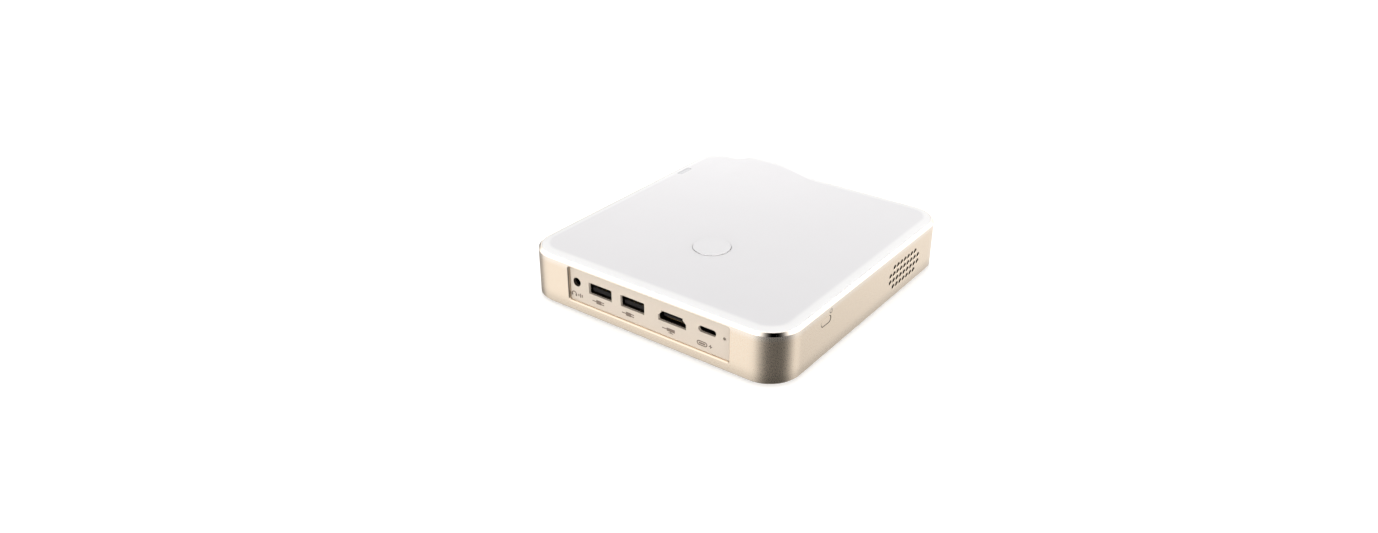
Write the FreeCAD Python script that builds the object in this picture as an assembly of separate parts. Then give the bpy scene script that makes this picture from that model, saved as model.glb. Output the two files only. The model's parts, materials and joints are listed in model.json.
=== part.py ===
import FreeCAD, Part
import math
import os

# Mini PC: a low, square desktop computer.  A champagne aluminium band runs round the side,
# a white moulded cover closes it from above and a base plate closes it from below.
# Units are millimetres.  The origin is the centre of the footprint, on the plane the feet
# rest on.  +X is the side with the power button and the exhaust grille, -Y is the face with
# the ports, and +Z is up.

Vec = FreeCAD.Vector

# ------------------------------------------------------------------ driving dimensions
# Overall size
WIDTH = 134.0
DEPTH = 142.0
CORNER_R = 14.5
FOOT_HEIGHT = 1.0
TOP_Z = 25.0
FRONT_Y = -DEPTH / 2
RIGHT_X = WIDTH / 2

# Clearances and overlaps shared by several pieces
THROUGH = 1.0           # how far a cutter runs past the face it opens
SLIP = 0.05             # gap between parts that slide together
NEARLY = 0.01           # kept off a full half-round, so that flat edges stay
TOUCH = 1e-4            # distance at which two heights count as one

# Side band, and the rebates that seat the cover above and the base plate below
BAND_WALL = 2.2
BAND_TOP_Z = 24.1
TOP_CHAMFER = 1.2
BOTTOM_CHAMFER = 0.8
REBATE_INSET = 1.42
LID_INSET = 1.5
COVER_SEAT_Z = 22.3
BASE_TOP_Z = 2.6

# Top cover
COVER_PLATE = 1.6
ROLL_WIDTH = 5.0        # the top rolls off over this width along the rim
ROLL_DROP = TOP_Z - BAND_TOP_Z
ROLL_R = (ROLL_WIDTH ** 2 + ROLL_DROP ** 2) / (2 * ROLL_DROP)
COVER_EDGE_R = 0.35
COVER_UNDERSIDE = TOP_Z - COVER_PLATE
LIP_INSET = 2.4
LIP_WALL = 1.2
LIP_DEPTH = 1.5
BOSS_X = 55.0
BOSS_Y = 59.0
BOSS_R = 3.0
PILOT_R = 1.25
PILOT_DEPTH = 11.0

# Raised antenna hump along the rear edge of the cover
HUMP_START_X = -52.0
HUMP_CREST_X = (-36.0, -24.0)
HUMP_END_X = 2.0
HUMP_FRONT_Y = 44.0
HUMP_REAR_Y = DEPTH / 2 - LID_INSET
HUMP_HEIGHT = 3.4
HUMP_ROOT = 1.3         # depth at which the hump is rooted in the plate
HUMP_POCKET_Y = (56.0, 66.4)
HUMP_POCKET_MARGIN = 8.0

# Light disc and sensor window in the cover
DISC_X = 0.7
DISC_Y = -23.7
DISC_R = 8.4
DISC_PROUD = 0.4
DISC_EDGE_R = 0.15
DISC_FLANGE = 0.7
LEG_R = 0.9
LIGHT_BOARD_TOP = 21.4
LIGHT_BOARD_THICK = 0.8
DIODE_CIRCLE_R = 4.5
DIODE_SIZE = 1.6
DIODE_HEIGHT = 0.6
WINDOW_X = -60.5
WINDOW_Y = 37.5
WINDOW_LENGTH = 9.4
WINDOW_WIDTH = 2.4
WINDOW_SUNK = 0.12
WINDOW_FLANGE = 0.6
SEAM = 0.2

# Base plate: feet, screws, intake slots, rails of the switch board
FOOT_X = 46.0
FOOT_Y = 50.0
FOOT_R = 5.0
FOOT_RECESS = 0.5
FOOT_EDGE_R = 0.35
BASE_CHAMFER = 0.3
SINK_R = 2.45
SINK_DEPTH = 1.2
CASE_SCREW_R = 1.2
CASE_SCREW_END_Z = 11.0
SLOT_WIDTH = 1.8
SLOT_PITCH = 3.4
INTAKE_R = 14.5
POST_R = 2.4
RAIL_HEIGHT = 10.4
RAIL_WIDTH = 2.0

# Recess with the port plate in the front of the band
PORT_LEFT = -41.5
PORT_RIGHT = 43.0
PORT_BOTTOM = 5.7
PORT_TOP = 21.8
PORT_CORNER_R = 0.8
PORT_RIM_CHAMFER = 0.45
PORT_RECESS = 1.2
PLATE_THICK = 1.2
PLATE_GAP = 0.08
PLATE_FRONT_Y = FRONT_Y + PORT_RECESS
PLATE_BACK_Y = PLATE_FRONT_Y + PLATE_THICK
FLANGE_REACH = 1.5
FLANGE_THICK = 0.8
FLANGE_TOP_Z = 20.4
PORT_CLEARANCE = 0.3
PORT_MOUTH_Y = PLATE_BACK_Y + 0.1

# Mainboard, mounted component side down above the ports
BOARD_BOTTOM = 17.3
BOARD_THICK = 1.6
BOARD_TOP = BOARD_BOTTOM + BOARD_THICK
BOARD_FRONT_Y = -67.3
BOARD_SIDE_X = 60.0
BOARD_REAR_Y = 62.0
BOARD_STEP_X = -2.0
BOARD_STEP_Y = 12.0
BOARD_HOLE_R = 1.4
BOSS_NOTCH = 1.5
SWITCH_NOTCH = (55.0, -48.0, -27.2)     # left edge, front, rear
STANDOFFS = [(-55.5, -48.0), (47.5, -52.0), (46.0, 8.0), (-55.5, 48.0), (-8.0, 56.0)]
STANDOFF_ACROSS = 4.5
SPIGOT_R = 1.5
SPIGOT_LENGTH = 0.8
STANDOFF_THREAD = 6.0

# Packages under the board as (x, y, width, depth)
MEMORY_CHIPS = [(x, y, 9, 14) for x in (-27, 31) for y in (-26, -6)]
MEMORY_HEIGHT = 1.1
CONTROLLER_CHIPS = [(-38, -46, 6, 6), (-15, -46, 8, 8), (14, -48, 6, 6), (30, -50, 5, 5),
                    (41, -38, 9, 9), (-46, -20, 6, 5)]
CONTROLLER_HEIGHT = 0.9
INDUCTOR_START = (-14.0, 7.4)
INDUCTOR_PITCH = 8.5
INDUCTOR_COUNT = 5
INDUCTOR_SIZE = 6.5
INDUCTOR_HEIGHT = 3.5

# Parts on top of the board
CAPACITOR_PLACES = [(x, y) for x in (43, 50) for y in (-20, -12, -4)]
CAPACITOR_BASE = 5.4
CAPACITOR_R = 2.5
CAPACITOR_HEIGHT = 4.0
SOLDER_BASE = 0.6
SENSOR_X = -57.6
SENSOR_SIZE = (4.0, 5.5, 2.4)
SENSOR_DOME_R = 1.3
BATTERY_X = 42.0
BATTERY_Y = -40.0
BATTERY_R = 6.25
BATTERY_THICK = 2.0
HOLDER_WALL = 0.9
HOLDER_HEIGHT = 2.3

# Ports, left to right
JACK_X = -37.6
JACK_Z = 15.1
JACK_BORE_R = 1.8
JACK_BORE_DEPTH = 11.0
JACK_HALF_WIDTH = 2.9
JACK_BELOW = 2.6
JACK_LENGTH = 12.0
JACK_PLATE_HOLE_R = 2.1
COLLAR_WALL = 0.25
COLLAR_LENGTH = 2.0
USB_X = (-24.5, -6.8)
USB_OPENING = (12.5, 5.1)
USB_WALL = 0.3
USB_DEPTH = 14.0
USB_Z = BOARD_BOTTOM - USB_WALL - USB_OPENING[1] / 2
USB_TONGUE_HALF = 5.6
USB_TONGUE_Z = (USB_Z - 1.85, USB_Z - 0.05)
USB_BLOCK_DEPTH = 3.0
USB_CONTACT_X = (-3.5, -1.0, 1.0, 3.5)
USB_CONTACT_HALF = 0.5
USB_CONTACT_Y = (PORT_MOUTH_Y + 1.2, PORT_MOUTH_Y + 9.0)
USB_CONTACT_THICK = 0.15
VIDEO_X = 14.0
VIDEO_DEPTH = 11.5
VIDEO_WALL = 0.35
VIDEO_HEIGHT = 4.55
VIDEO_Z = BOARD_BOTTOM - VIDEO_WALL - VIDEO_HEIGHT      # lower edge of the opening
VIDEO_HALF_LOW = 7.0
VIDEO_HALF_HIGH = 5.35
VIDEO_SHOULDER = (2.3, 3.9)     # heights between which the sides slope in
VIDEO_TONGUE_HALF = 5.6
VIDEO_TONGUE_Z = (VIDEO_Z + 1.4, VIDEO_Z + 2.4)
VIDEO_BLOCK_DEPTH = 2.6
TYPE_C_X = 31.7
TYPE_C_OPENING = (8.4, 2.6)
TYPE_C_WALL = 0.3
TYPE_C_DEPTH = 7.5
TYPE_C_Z = BOARD_BOTTOM - TYPE_C_WALL - TYPE_C_OPENING[1] / 2
TYPE_C_TONGUE = (6.7, 0.7)
TYPE_C_BLOCK_DEPTH = 1.0

# Reset switch behind its pinhole
RESET_X = 40.1
RESET_Z = 15.2
RESET_HOLE_R = 0.7
RESET_FACE_Y = -67.3
RESET_BODY = (4.6, 4.0, 2.1)    # width, depth, reach below the axis
RESET_PLUNGER_R = 0.75
RESET_PLUNGER_OUT = 0.9
RESET_PLUNGER_IN = 2.3
RESET_POCKET = 2.9

# Exhaust grille in the right side of the band, rows as (height, holes each side of the middle)
GRILLE_Y = 32.0
GRILLE_PITCH = 3.3
GRILLE_HOLE_R = 1.1
GRILLE_LEAD = 0.2
GRILLE_ROWS = [(6.9, 3), (10.1, 4), (13.3, 4), (16.5, 3)]

# Power button in the right side of the band, and its switch
BUTTON_Y = -37.6
BUTTON_Z = 17.5
BUTTON_SIZE = (7.3, 3.2)
BUTTON_GAP = (0.3, 0.12)
BUTTON_SUNK = 0.08
BUTTON_EDGE_R = 0.2
BUTTON_FLANGE = (9.5, 4.8, 1.2)     # width, height, thickness
BUTTON_FLANGE_GAP = 0.15
BUTTON_BOSS_R = 1.4
SWITCH_BOARD_X = 58.8
SWITCH_BOARD_THICK = 1.0
SWITCH_BOARD_Y = (-46.6, -28.6)
SWITCH_BOARD_TOP = 20.3
SWITCH_FACE_X = 62.0
SWITCH_BODY = (6.0, 3.6)
SWITCH_PLUNGER_R = 0.93
SWITCH_PLUNGER_OUT = 0.6
SWITCH_PLUNGER_IN = 0.8
SWITCH_POCKET_R = 1.0
SWITCH_POCKET = 1.4
RIBBON_X = 52.0
RIBBON_Z = 9.0
RIBBON_THICK = 0.3
RIBBON_BEND_R = 2.5
RIBBON_WIDTH = 5.0

# Cooler: processor, cold plate, heat pipe and fin stack
CPU_X = 2.0
CPU_Y = -16.0
CPU_CARRIER = 24.0
CPU_CARRIER_HEIGHT = 1.0
CPU_DIE = 13.0
PAD_SIZE = 14.0
PAD_THICK = 0.3
COLD_PLATE = (38.0, 30.0, 2.0)
COLD_PLATE_R = 2.5
COLD_PLATE_TOP = 15.2
COLD_PLATE_HOLE_R = 1.25
COOLER_SCREW_DX = 16.0
COOLER_SCREW_DY = 12.0
COOLER_SCREW_R = 1.0
COOLER_SCREW_HEAD_R = 2.2
COOLER_HEAD_Z = 10.6
COOLER_BOARD_HOLE_R = 1.1
SPRING_WIRE_R = 0.2
SPRING_R = 1.55
SPRING_TURNS = 3
SPRING_SIDES = 14       # straight pieces in one turn of the wire
SPRING_GAP = 0.03
PIPE_WIDTH = 8.0
PIPE_THICK = 3.0
PIPE_BEND_R = 13.5
PIPE_X = 57.5
PIPE_END_Y = 46.0
PIPE_START_INSET = 2.0
FINS_X = (52.5, 64.0)
FINS_Y = (17.0, 47.0)
FINS_Z = (5.2, 17.0)
FIN_COUNT = 20
FIN_THICK = 0.3

# Blower
FAN_X = (1.5, 51.5)
FAN_Y = (15.0, 65.0)
FAN_Z = (5.0, 16.0)
FAN_CORNER_R = 5.0
FAN_SHEET = 0.6
FAN_ROOF = 0.8
SCROLL_FLOOR_Z = FAN_Z[0] + FAN_SHEET
SCROLL_ROOF_Z = FAN_Z[1] - FAN_ROOF
FAN_INTAKE_R = 13.0
FAN_SCREWS = [(5.0, 18.5), (5.0, 61.5), (48.0, 61.5)]
FAN_SCREW_HOLE_R = 1.15
FAN_SCREW_SINK_R = 2.3
FAN_SCREW_SINK = 3.0
ROTOR_X = 26.5
ROTOR_Y = 39.0
SCROLL_R = 21.0
ROTOR_R = 17.0
HUB_R = 9.2
HUB_WALL = 1.0
HUB_Z = (5.9, 14.0)
HUB_EDGE_R = 0.5
SHAFT_R = 0.75
SHAFT_Z = (6.2, 14.8)
BEARING_R = 1.7
BEARING_Z = (7.8, 14.6)
BEARING_SLIP = 0.03
TUBE_R = 2.5
TUBE_LOW_Z = 7.6
MAGNET_R = 7.0
MAGNET_Z = (8.0, 13.0)
BLADE_COUNT = 29
BLADE_THICK = 0.5
BLADE_GAP = (0.8, 1.0)      # below and above the blades
BLADE_SWEEP = (0.0, 8.0, 24.0)
CORE_Z = (8.6, 12.4)
CORE_HUB_R = 3.3
CORE_SHOE_R = (5.8, 6.6)
CORE_ARM_WIDTH = 1.6
CORE_ARM_R = (3.0, 6.2)
CORE_GAP_WIDTH = 1.2
COIL_WIDTH = 3.2
COIL_R = (3.6, 5.5)
COIL_Z = (7.9, 13.1)
FAN_WIRE_R = 0.35
FAN_WIRE_PITCH = 0.8
FAN_WIRE_COUNT = 4
FAN_WIRE_START_Y = 29.0
FAN_WIRE_PATH = [(FAN_X[0] - 0.1, 9.0), (-2.5, 9.8), (-5.5, 13.5), (-8.0, 16.0)]
FAN_PLUG_X = (-13.0, -8.0)
FAN_PLUG_Y = (27.5, 33.0)
FAN_PLUG_HEIGHT = 2.6

# Plug-in modules on top of the board; chips as (y, width, depth)
MODULE_WIDTH = 22.0
MODULE_Z = BOARD_TOP + 1.5
MODULE_PCB = 0.8
MODULE_CHIP_HEIGHT = 1.3
MODULE_TOP = MODULE_Z + MODULE_PCB
SSD_X = -32.0
SSD_Y = (-26.0, 54.0)
SSD_CHIPS = [(-8, 13, 12), (14, 14, 18), (37, 14, 18)]
WIFI_X = 25.0
WIFI_Y = (-22.0, 8.0)
WIFI_CHIPS = [(-8.5, 18, 17)]
SOCKET_HALF = (12.0, 4.0)
SOCKET_HEIGHT = 3.2
SOCKET_STEP_Y = 1.5
SOCKET_SLOT_HALF = 11.1
MODULE_STANDOFF_R = (0.95, 2.3)
RECEPTACLE_DX = 6.5
RECEPTACLE_INSET = 4.0
RECEPTACLE_R = 1.0
RECEPTACLE_HEIGHT = 0.6
ANTENNA_THICK = 0.3
CABLE_R = 0.4
CABLE_PLUG_R = 1.1
# Way of each cable after its plug: over the board to an antenna
LEFT_CABLE_WAY = [(6.0, 22.0, 22.0), (-9.0, 40.0, 21.8), (-17.0, 53.0, 21.8), (-20.5, 59.0, 22.6),
                  (-21.5, 62.0, 23.3)]
RIGHT_CABLE_WAY = [(35.0, 25.0, 21.8), (37.0, 45.0, 21.6), (34.0, 61.0, 22.5)]


# ------------------------------------------------------------------ shape helpers
def box(x0, x1, y0, y1, z0, z1):
    """Block between two corners."""
    return Part.makeBox(x1 - x0, y1 - y0, z1 - z0, Vec(x0, y0, z0))


def block_at(x, y, width, depth, z0, z1):
    """Block centred on a point in plan."""
    return box(x - width / 2, x + width / 2, y - depth / 2, y + depth / 2, z0, z1)


def disc(x, y, r, z0, z1):
    """Upright cylinder."""
    return Part.makeCylinder(r, z1 - z0, Vec(x, y, z0))


def rod_x(y, z, r, x0, x1):
    """Cylinder along X."""
    return Part.makeCylinder(r, x1 - x0, Vec(x0, y, z), Vec(1, 0, 0))


def rod_y(x, z, r, y0, y1):
    """Cylinder along Y."""
    return Part.makeCylinder(r, y1 - y0, Vec(x, y0, z), Vec(0, 1, 0))


def rounded_face(width, height, r):
    """Rounded rectangle in the XY plane, centred on the origin."""
    hx = width / 2
    hy = height / 2
    flat_x = hx - r
    flat_y = hy - r
    edges = [
        Part.makeLine(Vec(-flat_x, -hy, 0), Vec(flat_x, -hy, 0)),
        Part.makeLine(Vec(flat_x, hy, 0), Vec(-flat_x, hy, 0)),
        Part.makeLine(Vec(hx, -flat_y, 0), Vec(hx, flat_y, 0)),
        Part.makeLine(Vec(-hx, flat_y, 0), Vec(-hx, -flat_y, 0)),
    ]
    corners = [(flat_x, -flat_y, 270), (flat_x, flat_y, 0), (-flat_x, flat_y, 90), (-flat_x, -flat_y, 180)]
    for x, y, start in corners:
        edges.append(Part.makeCircle(r, Vec(x, y, 0), Vec(0, 0, 1), start, start + 90))
    return Part.Face(Part.Wire(Part.__sortEdges__(edges)))


def rounded_block(x, y, width, depth, r, z0, z1):
    """Upright block with rounded vertical corners."""
    solid = rounded_face(width, depth, r).extrude(Vec(0, 0, z1 - z0))
    solid.translate(Vec(x, y, z0))
    return solid


def bar_y(x, z, width, height, r, y0, y1):
    """Rounded bar along Y, seen from the port face as width by height."""
    solid = rounded_face(width, height, r).extrude(Vec(0, 0, y1 - y0))
    solid.rotate(Vec(0, 0, 0), Vec(1, 0, 0), 90)
    solid.translate(Vec(x, y1, z))
    return solid


def bar_x(y, z, width, height, r, x0, x1):
    """Rounded bar along X, seen from the grille side as width by height."""
    solid = rounded_face(width, height, r).extrude(Vec(0, 0, x1 - x0))
    solid.rotate(Vec(0, 0, 0), Vec(1, 1, 1), 120)
    solid.translate(Vec(x0, y, z))
    return solid


def outline_block(inset, z0, z1):
    """The case outline, moved in by inset, as an upright block."""
    return rounded_block(0, 0, WIDTH - 2 * inset, DEPTH - 2 * inset, CORNER_R - inset, z0, z1)


def ring(x, y, r_in, r_out, z0, z1):
    """Upright tube."""
    return disc(x, y, r_out, z0, z1).cut(disc(x, y, r_in, z0, z1))


def hexagon(x, y, across_flats, z0, z1):
    """Upright hexagonal bar."""
    r = across_flats / math.sqrt(3)
    corners = [Vec(*around(x, y, r, angle), z0) for angle in range(0, 361, 60)]
    return Part.Face(Part.makePolygon(corners)).extrude(Vec(0, 0, z1 - z0))


def around(x, y, r, angle):
    """Point at a distance and an angle in degrees round a centre."""
    turn = math.radians(angle)
    return x + r * math.cos(turn), y + r * math.sin(turn)


def fuse(shapes):
    """One solid from touching or overlapping shapes."""
    return shapes[0].multiFuse(shapes[1:]).removeSplitter()


def edges_at_height(solid, z):
    """Edges that lie wholly at one height."""
    return [e for e in solid.Edges
            if abs(e.BoundBox.ZMin - z) < TOUCH and abs(e.BoundBox.ZMax - z) < TOUCH]


def middle_of(edge):
    """Point half way along an edge."""
    return edge.valueAt((edge.FirstParameter + edge.LastParameter) / 2)


def four_corners(x, y):
    """The four mirrored places of one point."""
    return [(sx * x, sy * y) for sx in (-1, 1) for sy in (-1, 1)]


def pan_screw(x, y, seat_z, head_r, head_height, shank_r, length):
    """Upright screw with its head on top of seat_z and a hexagonal socket."""
    top = seat_z + head_height
    head = disc(x, y, head_r, seat_z, top)
    head = head.makeFillet(head_height * 0.3, edges_at_height(head, top))
    shank = disc(x, y, shank_r, seat_z - length, seat_z)
    socket = hexagon(x, y, head_r, seat_z + head_height * 0.4, top)
    return head.fuse(shank).cut(socket).removeSplitter()


# ------------------------------------------------------------------ case
def grille_holes():
    """Cutters for the exhaust grille, each with a small lead-in on the outside."""
    cutters = []
    for z, half_count in GRILLE_ROWS:
        for step in range(-half_count, half_count + 1):
            y = GRILLE_Y + step * GRILLE_PITCH
            cutters.append(rod_x(y, z, GRILLE_HOLE_R, RIGHT_X - BAND_WALL - THROUGH, RIGHT_X + THROUGH))
            cutters.append(Part.makeCone(GRILLE_HOLE_R, GRILLE_HOLE_R + GRILLE_LEAD, GRILLE_LEAD,
                                         Vec(RIGHT_X - GRILLE_LEAD, y, z), Vec(1, 0, 0)))
    return cutters


def port_bar(shrink, r, y0, y1):
    """Bar with the outline of the port opening, made smaller all round by shrink."""
    mid_x = (PORT_LEFT + PORT_RIGHT) / 2
    mid_z = (PORT_BOTTOM + PORT_TOP) / 2
    width = PORT_RIGHT - PORT_LEFT - 2 * shrink
    height = PORT_TOP - PORT_BOTTOM - 2 * shrink
    return bar_y(mid_x, mid_z, width, height, r, y0, y1)


def side_band():
    """Aluminium ring with polished chamfers, the port opening, the grille and the button hole."""
    band = outline_block(0, FOOT_HEIGHT, BAND_TOP_Z)
    band = band.makeChamfer(TOP_CHAMFER, edges_at_height(band, BAND_TOP_Z))
    band = band.makeChamfer(BOTTOM_CHAMFER, edges_at_height(band, FOOT_HEIGHT))
    band = band.cut(outline_block(BAND_WALL, 0, TOP_Z))
    band = band.cut(outline_block(REBATE_INSET, COVER_SEAT_Z, TOP_Z))
    band = band.cut(outline_block(REBATE_INSET, 0, BASE_TOP_Z))
    band = band.cut(port_bar(0, PORT_CORNER_R, FRONT_Y - THROUGH, FRONT_Y + BAND_WALL + THROUGH))
    rim = [e for e in band.Edges
           if abs(e.BoundBox.YMin - FRONT_Y) < TOUCH and abs(e.BoundBox.YMax - FRONT_Y) < TOUCH
           and e.BoundBox.ZMin > PORT_BOTTOM - SLIP and e.BoundBox.ZMax < PORT_TOP + SLIP]
    band = band.makeChamfer(PORT_RIM_CHAMFER, rim)

    hole_width = BUTTON_SIZE[0] + 2 * BUTTON_GAP[0]
    hole_height = BUTTON_SIZE[1] + 2 * BUTTON_GAP[1]
    button_hole = bar_x(BUTTON_Y, BUTTON_Z, hole_width, hole_height, hole_height / 2 - NEARLY,
                        RIGHT_X - BAND_WALL - THROUGH, RIGHT_X + THROUGH)
    return band.cut([button_hole] + grille_holes())


def hump_height(x, y):
    """Height of the antenna hump above the flat cover: a smooth rise on every side but the rear."""
    crest_start, crest_end = HUMP_CREST_X
    from_left = (x - HUMP_START_X) / (crest_start - HUMP_START_X)
    from_right = (HUMP_END_X - x) / (HUMP_END_X - crest_end)
    across = min(from_left, from_right, 1.0)
    along = (y - HUMP_FRONT_Y) / (HUMP_REAR_Y - HUMP_FRONT_Y)
    rise_x = (1 - math.cos(math.pi * across)) / 2
    rise_y = (1 - math.cos(math.pi * along)) / 2
    return HUMP_HEIGHT * rise_x * rise_y


def roll_drop(distance):
    """How far the top of the cover has rolled off, at a distance in from the rim."""
    along = max(0.0, ROLL_WIDTH - distance)
    return ROLL_R - math.sqrt(ROLL_R ** 2 - along ** 2)


def rolled_plate():
    """Plate with the cover's outline, whose top rolls off towards the rim."""
    blank = outline_block(LID_INSET + ROLL_WIDTH - ROLL_R, TOP_Z - ROLL_R - THROUGH, TOP_Z)
    blank = blank.makeFillet(ROLL_R, edges_at_height(blank, TOP_Z))
    return blank.common(outline_block(LID_INSET, COVER_SEAT_Z, TOP_Z + THROUGH))


def hump_block(bottom_z):
    """Block under the smooth hump surface, which rolls off with the plate; flat at bottom_z."""
    columns = 28
    rows = 19
    grid = []
    for i in range(columns):
        x = HUMP_START_X + (HUMP_END_X - HUMP_START_X) * i / (columns - 1)
        line = []
        for j in range(rows):
            y = HUMP_FRONT_Y + (HUMP_REAR_Y - HUMP_FRONT_Y) * j / (rows - 1)
            line.append(Vec(x, y, TOP_Z - roll_drop(HUMP_REAR_Y - y) + hump_height(x, y)))
        grid.append(line)
    surface = Part.BSplineSurface()
    surface.interpolate(grid)
    block = surface.toShape().extrude(Vec(0, 0, bottom_z - TOP_Z - 2 * HUMP_HEIGHT))
    below = box(HUMP_START_X - THROUGH, HUMP_END_X + THROUGH, HUMP_FRONT_Y - THROUGH,
                HUMP_REAR_Y + THROUGH, 0, bottom_z)
    return block.cut(below)


def top_cover():
    """White moulded cover: rolled rim, antenna hump, locating lip and four screw bosses."""
    root_z = TOP_Z - HUMP_ROOT
    patch = box(HUMP_START_X, HUMP_END_X, HUMP_FRONT_Y, HUMP_REAR_Y + THROUGH, root_z, TOP_Z + THROUGH)
    cover = rolled_plate().cut(patch).fuse(hump_block(root_z)).removeSplitter()
    inside = outline_block(LID_INSET + SLIP, 0, 2 * TOP_Z)
    rim = [e for e in cover.Edges
           if e.BoundBox.ZMin > BAND_TOP_Z - NEARLY and not inside.isInside(middle_of(e), TOUCH, True)]
    cover = cover.makeFillet(COVER_EDGE_R, rim)

    lip_low = COVER_SEAT_Z - LIP_DEPTH
    hollow = outline_block(LIP_INSET + LIP_WALL, lip_low - THROUGH, COVER_UNDERSIDE)
    lip = outline_block(LIP_INSET, lip_low, COVER_SEAT_Z).cut(hollow)
    pocket = box(HUMP_START_X + HUMP_POCKET_MARGIN, HUMP_END_X - HUMP_POCKET_MARGIN, *HUMP_POCKET_Y,
                 COVER_UNDERSIDE - THROUGH, hump_roof())
    cover = cover.cut([hollow, pocket])
    bosses = [disc(x, y, BOSS_R, BASE_TOP_Z, COVER_UNDERSIDE) for x, y in four_corners(BOSS_X, BOSS_Y)]
    pilots = [disc(x, y, PILOT_R, BASE_TOP_Z - THROUGH, BASE_TOP_Z + PILOT_DEPTH)
              for x, y in four_corners(BOSS_X, BOSS_Y)]
    holes = [disc(DISC_X, DISC_Y, DISC_R + SEAM, COVER_UNDERSIDE - THROUGH, TOP_Z + THROUGH),
             window_bar(SEAM, COVER_UNDERSIDE - THROUGH, TOP_Z + THROUGH)]
    return fuse([cover, lip] + bosses).cut(pilots + holes)


def hump_roof():
    """Height of the ceiling of the pocket under the hump."""
    return COVER_UNDERSIDE + COVER_PLATE / 2


def window_bar(grow, z0, z1):
    """Pill-shaped bar of the sensor window, grown all round by grow."""
    width = WINDOW_WIDTH + 2 * grow
    return rounded_block(WINDOW_X, WINDOW_Y, width, WINDOW_LENGTH + 2 * grow, width / 2 - NEARLY, z0, z1)


def sensor_window():
    """Grey window for the infrared receiver, held by a flange under the cover."""
    low = COVER_UNDERSIDE - WINDOW_FLANGE
    return fuse([window_bar(0, low, TOP_Z - WINDOW_SUNK), window_bar(WINDOW_FLANGE, low, COVER_UNDERSIDE)])


def light_disc():
    """Round light diffuser that stands a little proud of the cover, with legs for its board."""
    top = TOP_Z + DISC_PROUD
    flange_z = COVER_UNDERSIDE - DISC_FLANGE
    lens = disc(DISC_X, DISC_Y, DISC_R, flange_z, top)
    lens = lens.makeFillet(DISC_EDGE_R, edges_at_height(lens, top))
    flange = disc(DISC_X, DISC_Y, DISC_R + 1, flange_z, COVER_UNDERSIDE)
    legs = []
    for angle in (30, 150, 270):
        x, y = around(DISC_X, DISC_Y, DISC_R - 1, angle)
        legs.append(disc(x, y, LEG_R, LIGHT_BOARD_TOP, flange_z))
    return fuse([lens, flange] + legs)


def light_board():
    """Small round board under the light disc, with a ring of light-emitting diodes."""
    board = disc(DISC_X, DISC_Y, DISC_R, LIGHT_BOARD_TOP - LIGHT_BOARD_THICK, LIGHT_BOARD_TOP)
    diodes = []
    for angle in range(0, 360, 60):
        x, y = around(DISC_X, DISC_Y, DIODE_CIRCLE_R, angle)
        diodes.append(block_at(x, y, DIODE_SIZE, DIODE_SIZE, LIGHT_BOARD_TOP,
                               LIGHT_BOARD_TOP + DIODE_HEIGHT))
    return fuse([board] + diodes)


def intake_slots():
    """Parallel intake slots under the blower, clipped to a circle."""
    cutters = []
    count = int(INTAKE_R / SLOT_PITCH)
    for step in range(-count, count + 1):
        x = step * SLOT_PITCH
        length = 2 * math.sqrt(INTAKE_R ** 2 - x ** 2)
        cutters.append(rounded_block(ROTOR_X + x, ROTOR_Y, SLOT_WIDTH, length, SLOT_WIDTH / 2 - NEARLY,
                                     FOOT_HEIGHT - THROUGH, BASE_TOP_Z + THROUGH))
    return cutters


def switch_rail(edge_y):
    """Upright rail on the base plate that grips one edge of the switch board."""
    return box(SWITCH_BOARD_X - 1, SWITCH_BOARD_X + SWITCH_BOARD_THICK + 1, edge_y - RAIL_WIDTH / 2,
               edge_y + RAIL_WIDTH / 2, BASE_TOP_Z, BASE_TOP_Z + RAIL_HEIGHT)


def bottom_cover():
    """Base plate with foot recesses, countersunk holes, intake slots, fan posts and rails."""
    plate = outline_block(LID_INSET, FOOT_HEIGHT, BASE_TOP_Z)
    plate = plate.makeChamfer(BASE_CHAMFER, edges_at_height(plate, FOOT_HEIGHT))
    posts = [disc(x, y, POST_R, BASE_TOP_Z, FAN_Z[0]) for x, y in FAN_SCREWS]
    rails = [switch_rail(y) for y in SWITCH_BOARD_Y]
    plate = fuse([plate] + posts + rails)
    cutters = intake_slots()
    for x, y in four_corners(FOOT_X, FOOT_Y):
        cutters.append(disc(x, y, FOOT_R + 2 * SLIP, 0, FOOT_HEIGHT + FOOT_RECESS))
    screw_hole_r = CASE_SCREW_R + 4 * SLIP
    for x, y in four_corners(BOSS_X, BOSS_Y):
        cutters.append(disc(x, y, screw_hole_r, 0, BASE_TOP_Z + THROUGH))
        cutters.append(Part.makeCone(SINK_R, screw_hole_r, SINK_DEPTH, Vec(x, y, FOOT_HEIGHT)))
    for x, y in FAN_SCREWS:
        cutters.append(disc(x, y, COOLER_SCREW_R + SLIP, BASE_TOP_Z, FAN_Z[0] + THROUGH))
    for x, y in STANDOFFS:
        cutters.append(disc(x, y, SPIGOT_R + SLIP / 2, BASE_TOP_Z - SPIGOT_LENGTH - 2 * SLIP,
                            BASE_TOP_Z + THROUGH))
    cutters.append(box(SWITCH_BOARD_X - SLIP, SWITCH_BOARD_X + SWITCH_BOARD_THICK + SLIP,
                       SWITCH_BOARD_Y[0] - SLIP, SWITCH_BOARD_Y[1] + SLIP, switch_board_low(), TOP_Z))
    return plate.cut(cutters)


def rubber_feet():
    """Four round feet glued into the recesses of the base plate."""
    feet = []
    for x, y in four_corners(FOOT_X, FOOT_Y):
        foot = disc(x, y, FOOT_R, 0, FOOT_HEIGHT + FOOT_RECESS)
        feet.append(foot.makeFillet(FOOT_EDGE_R, edges_at_height(foot, 0)))
    return Part.makeCompound(feet)


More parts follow.
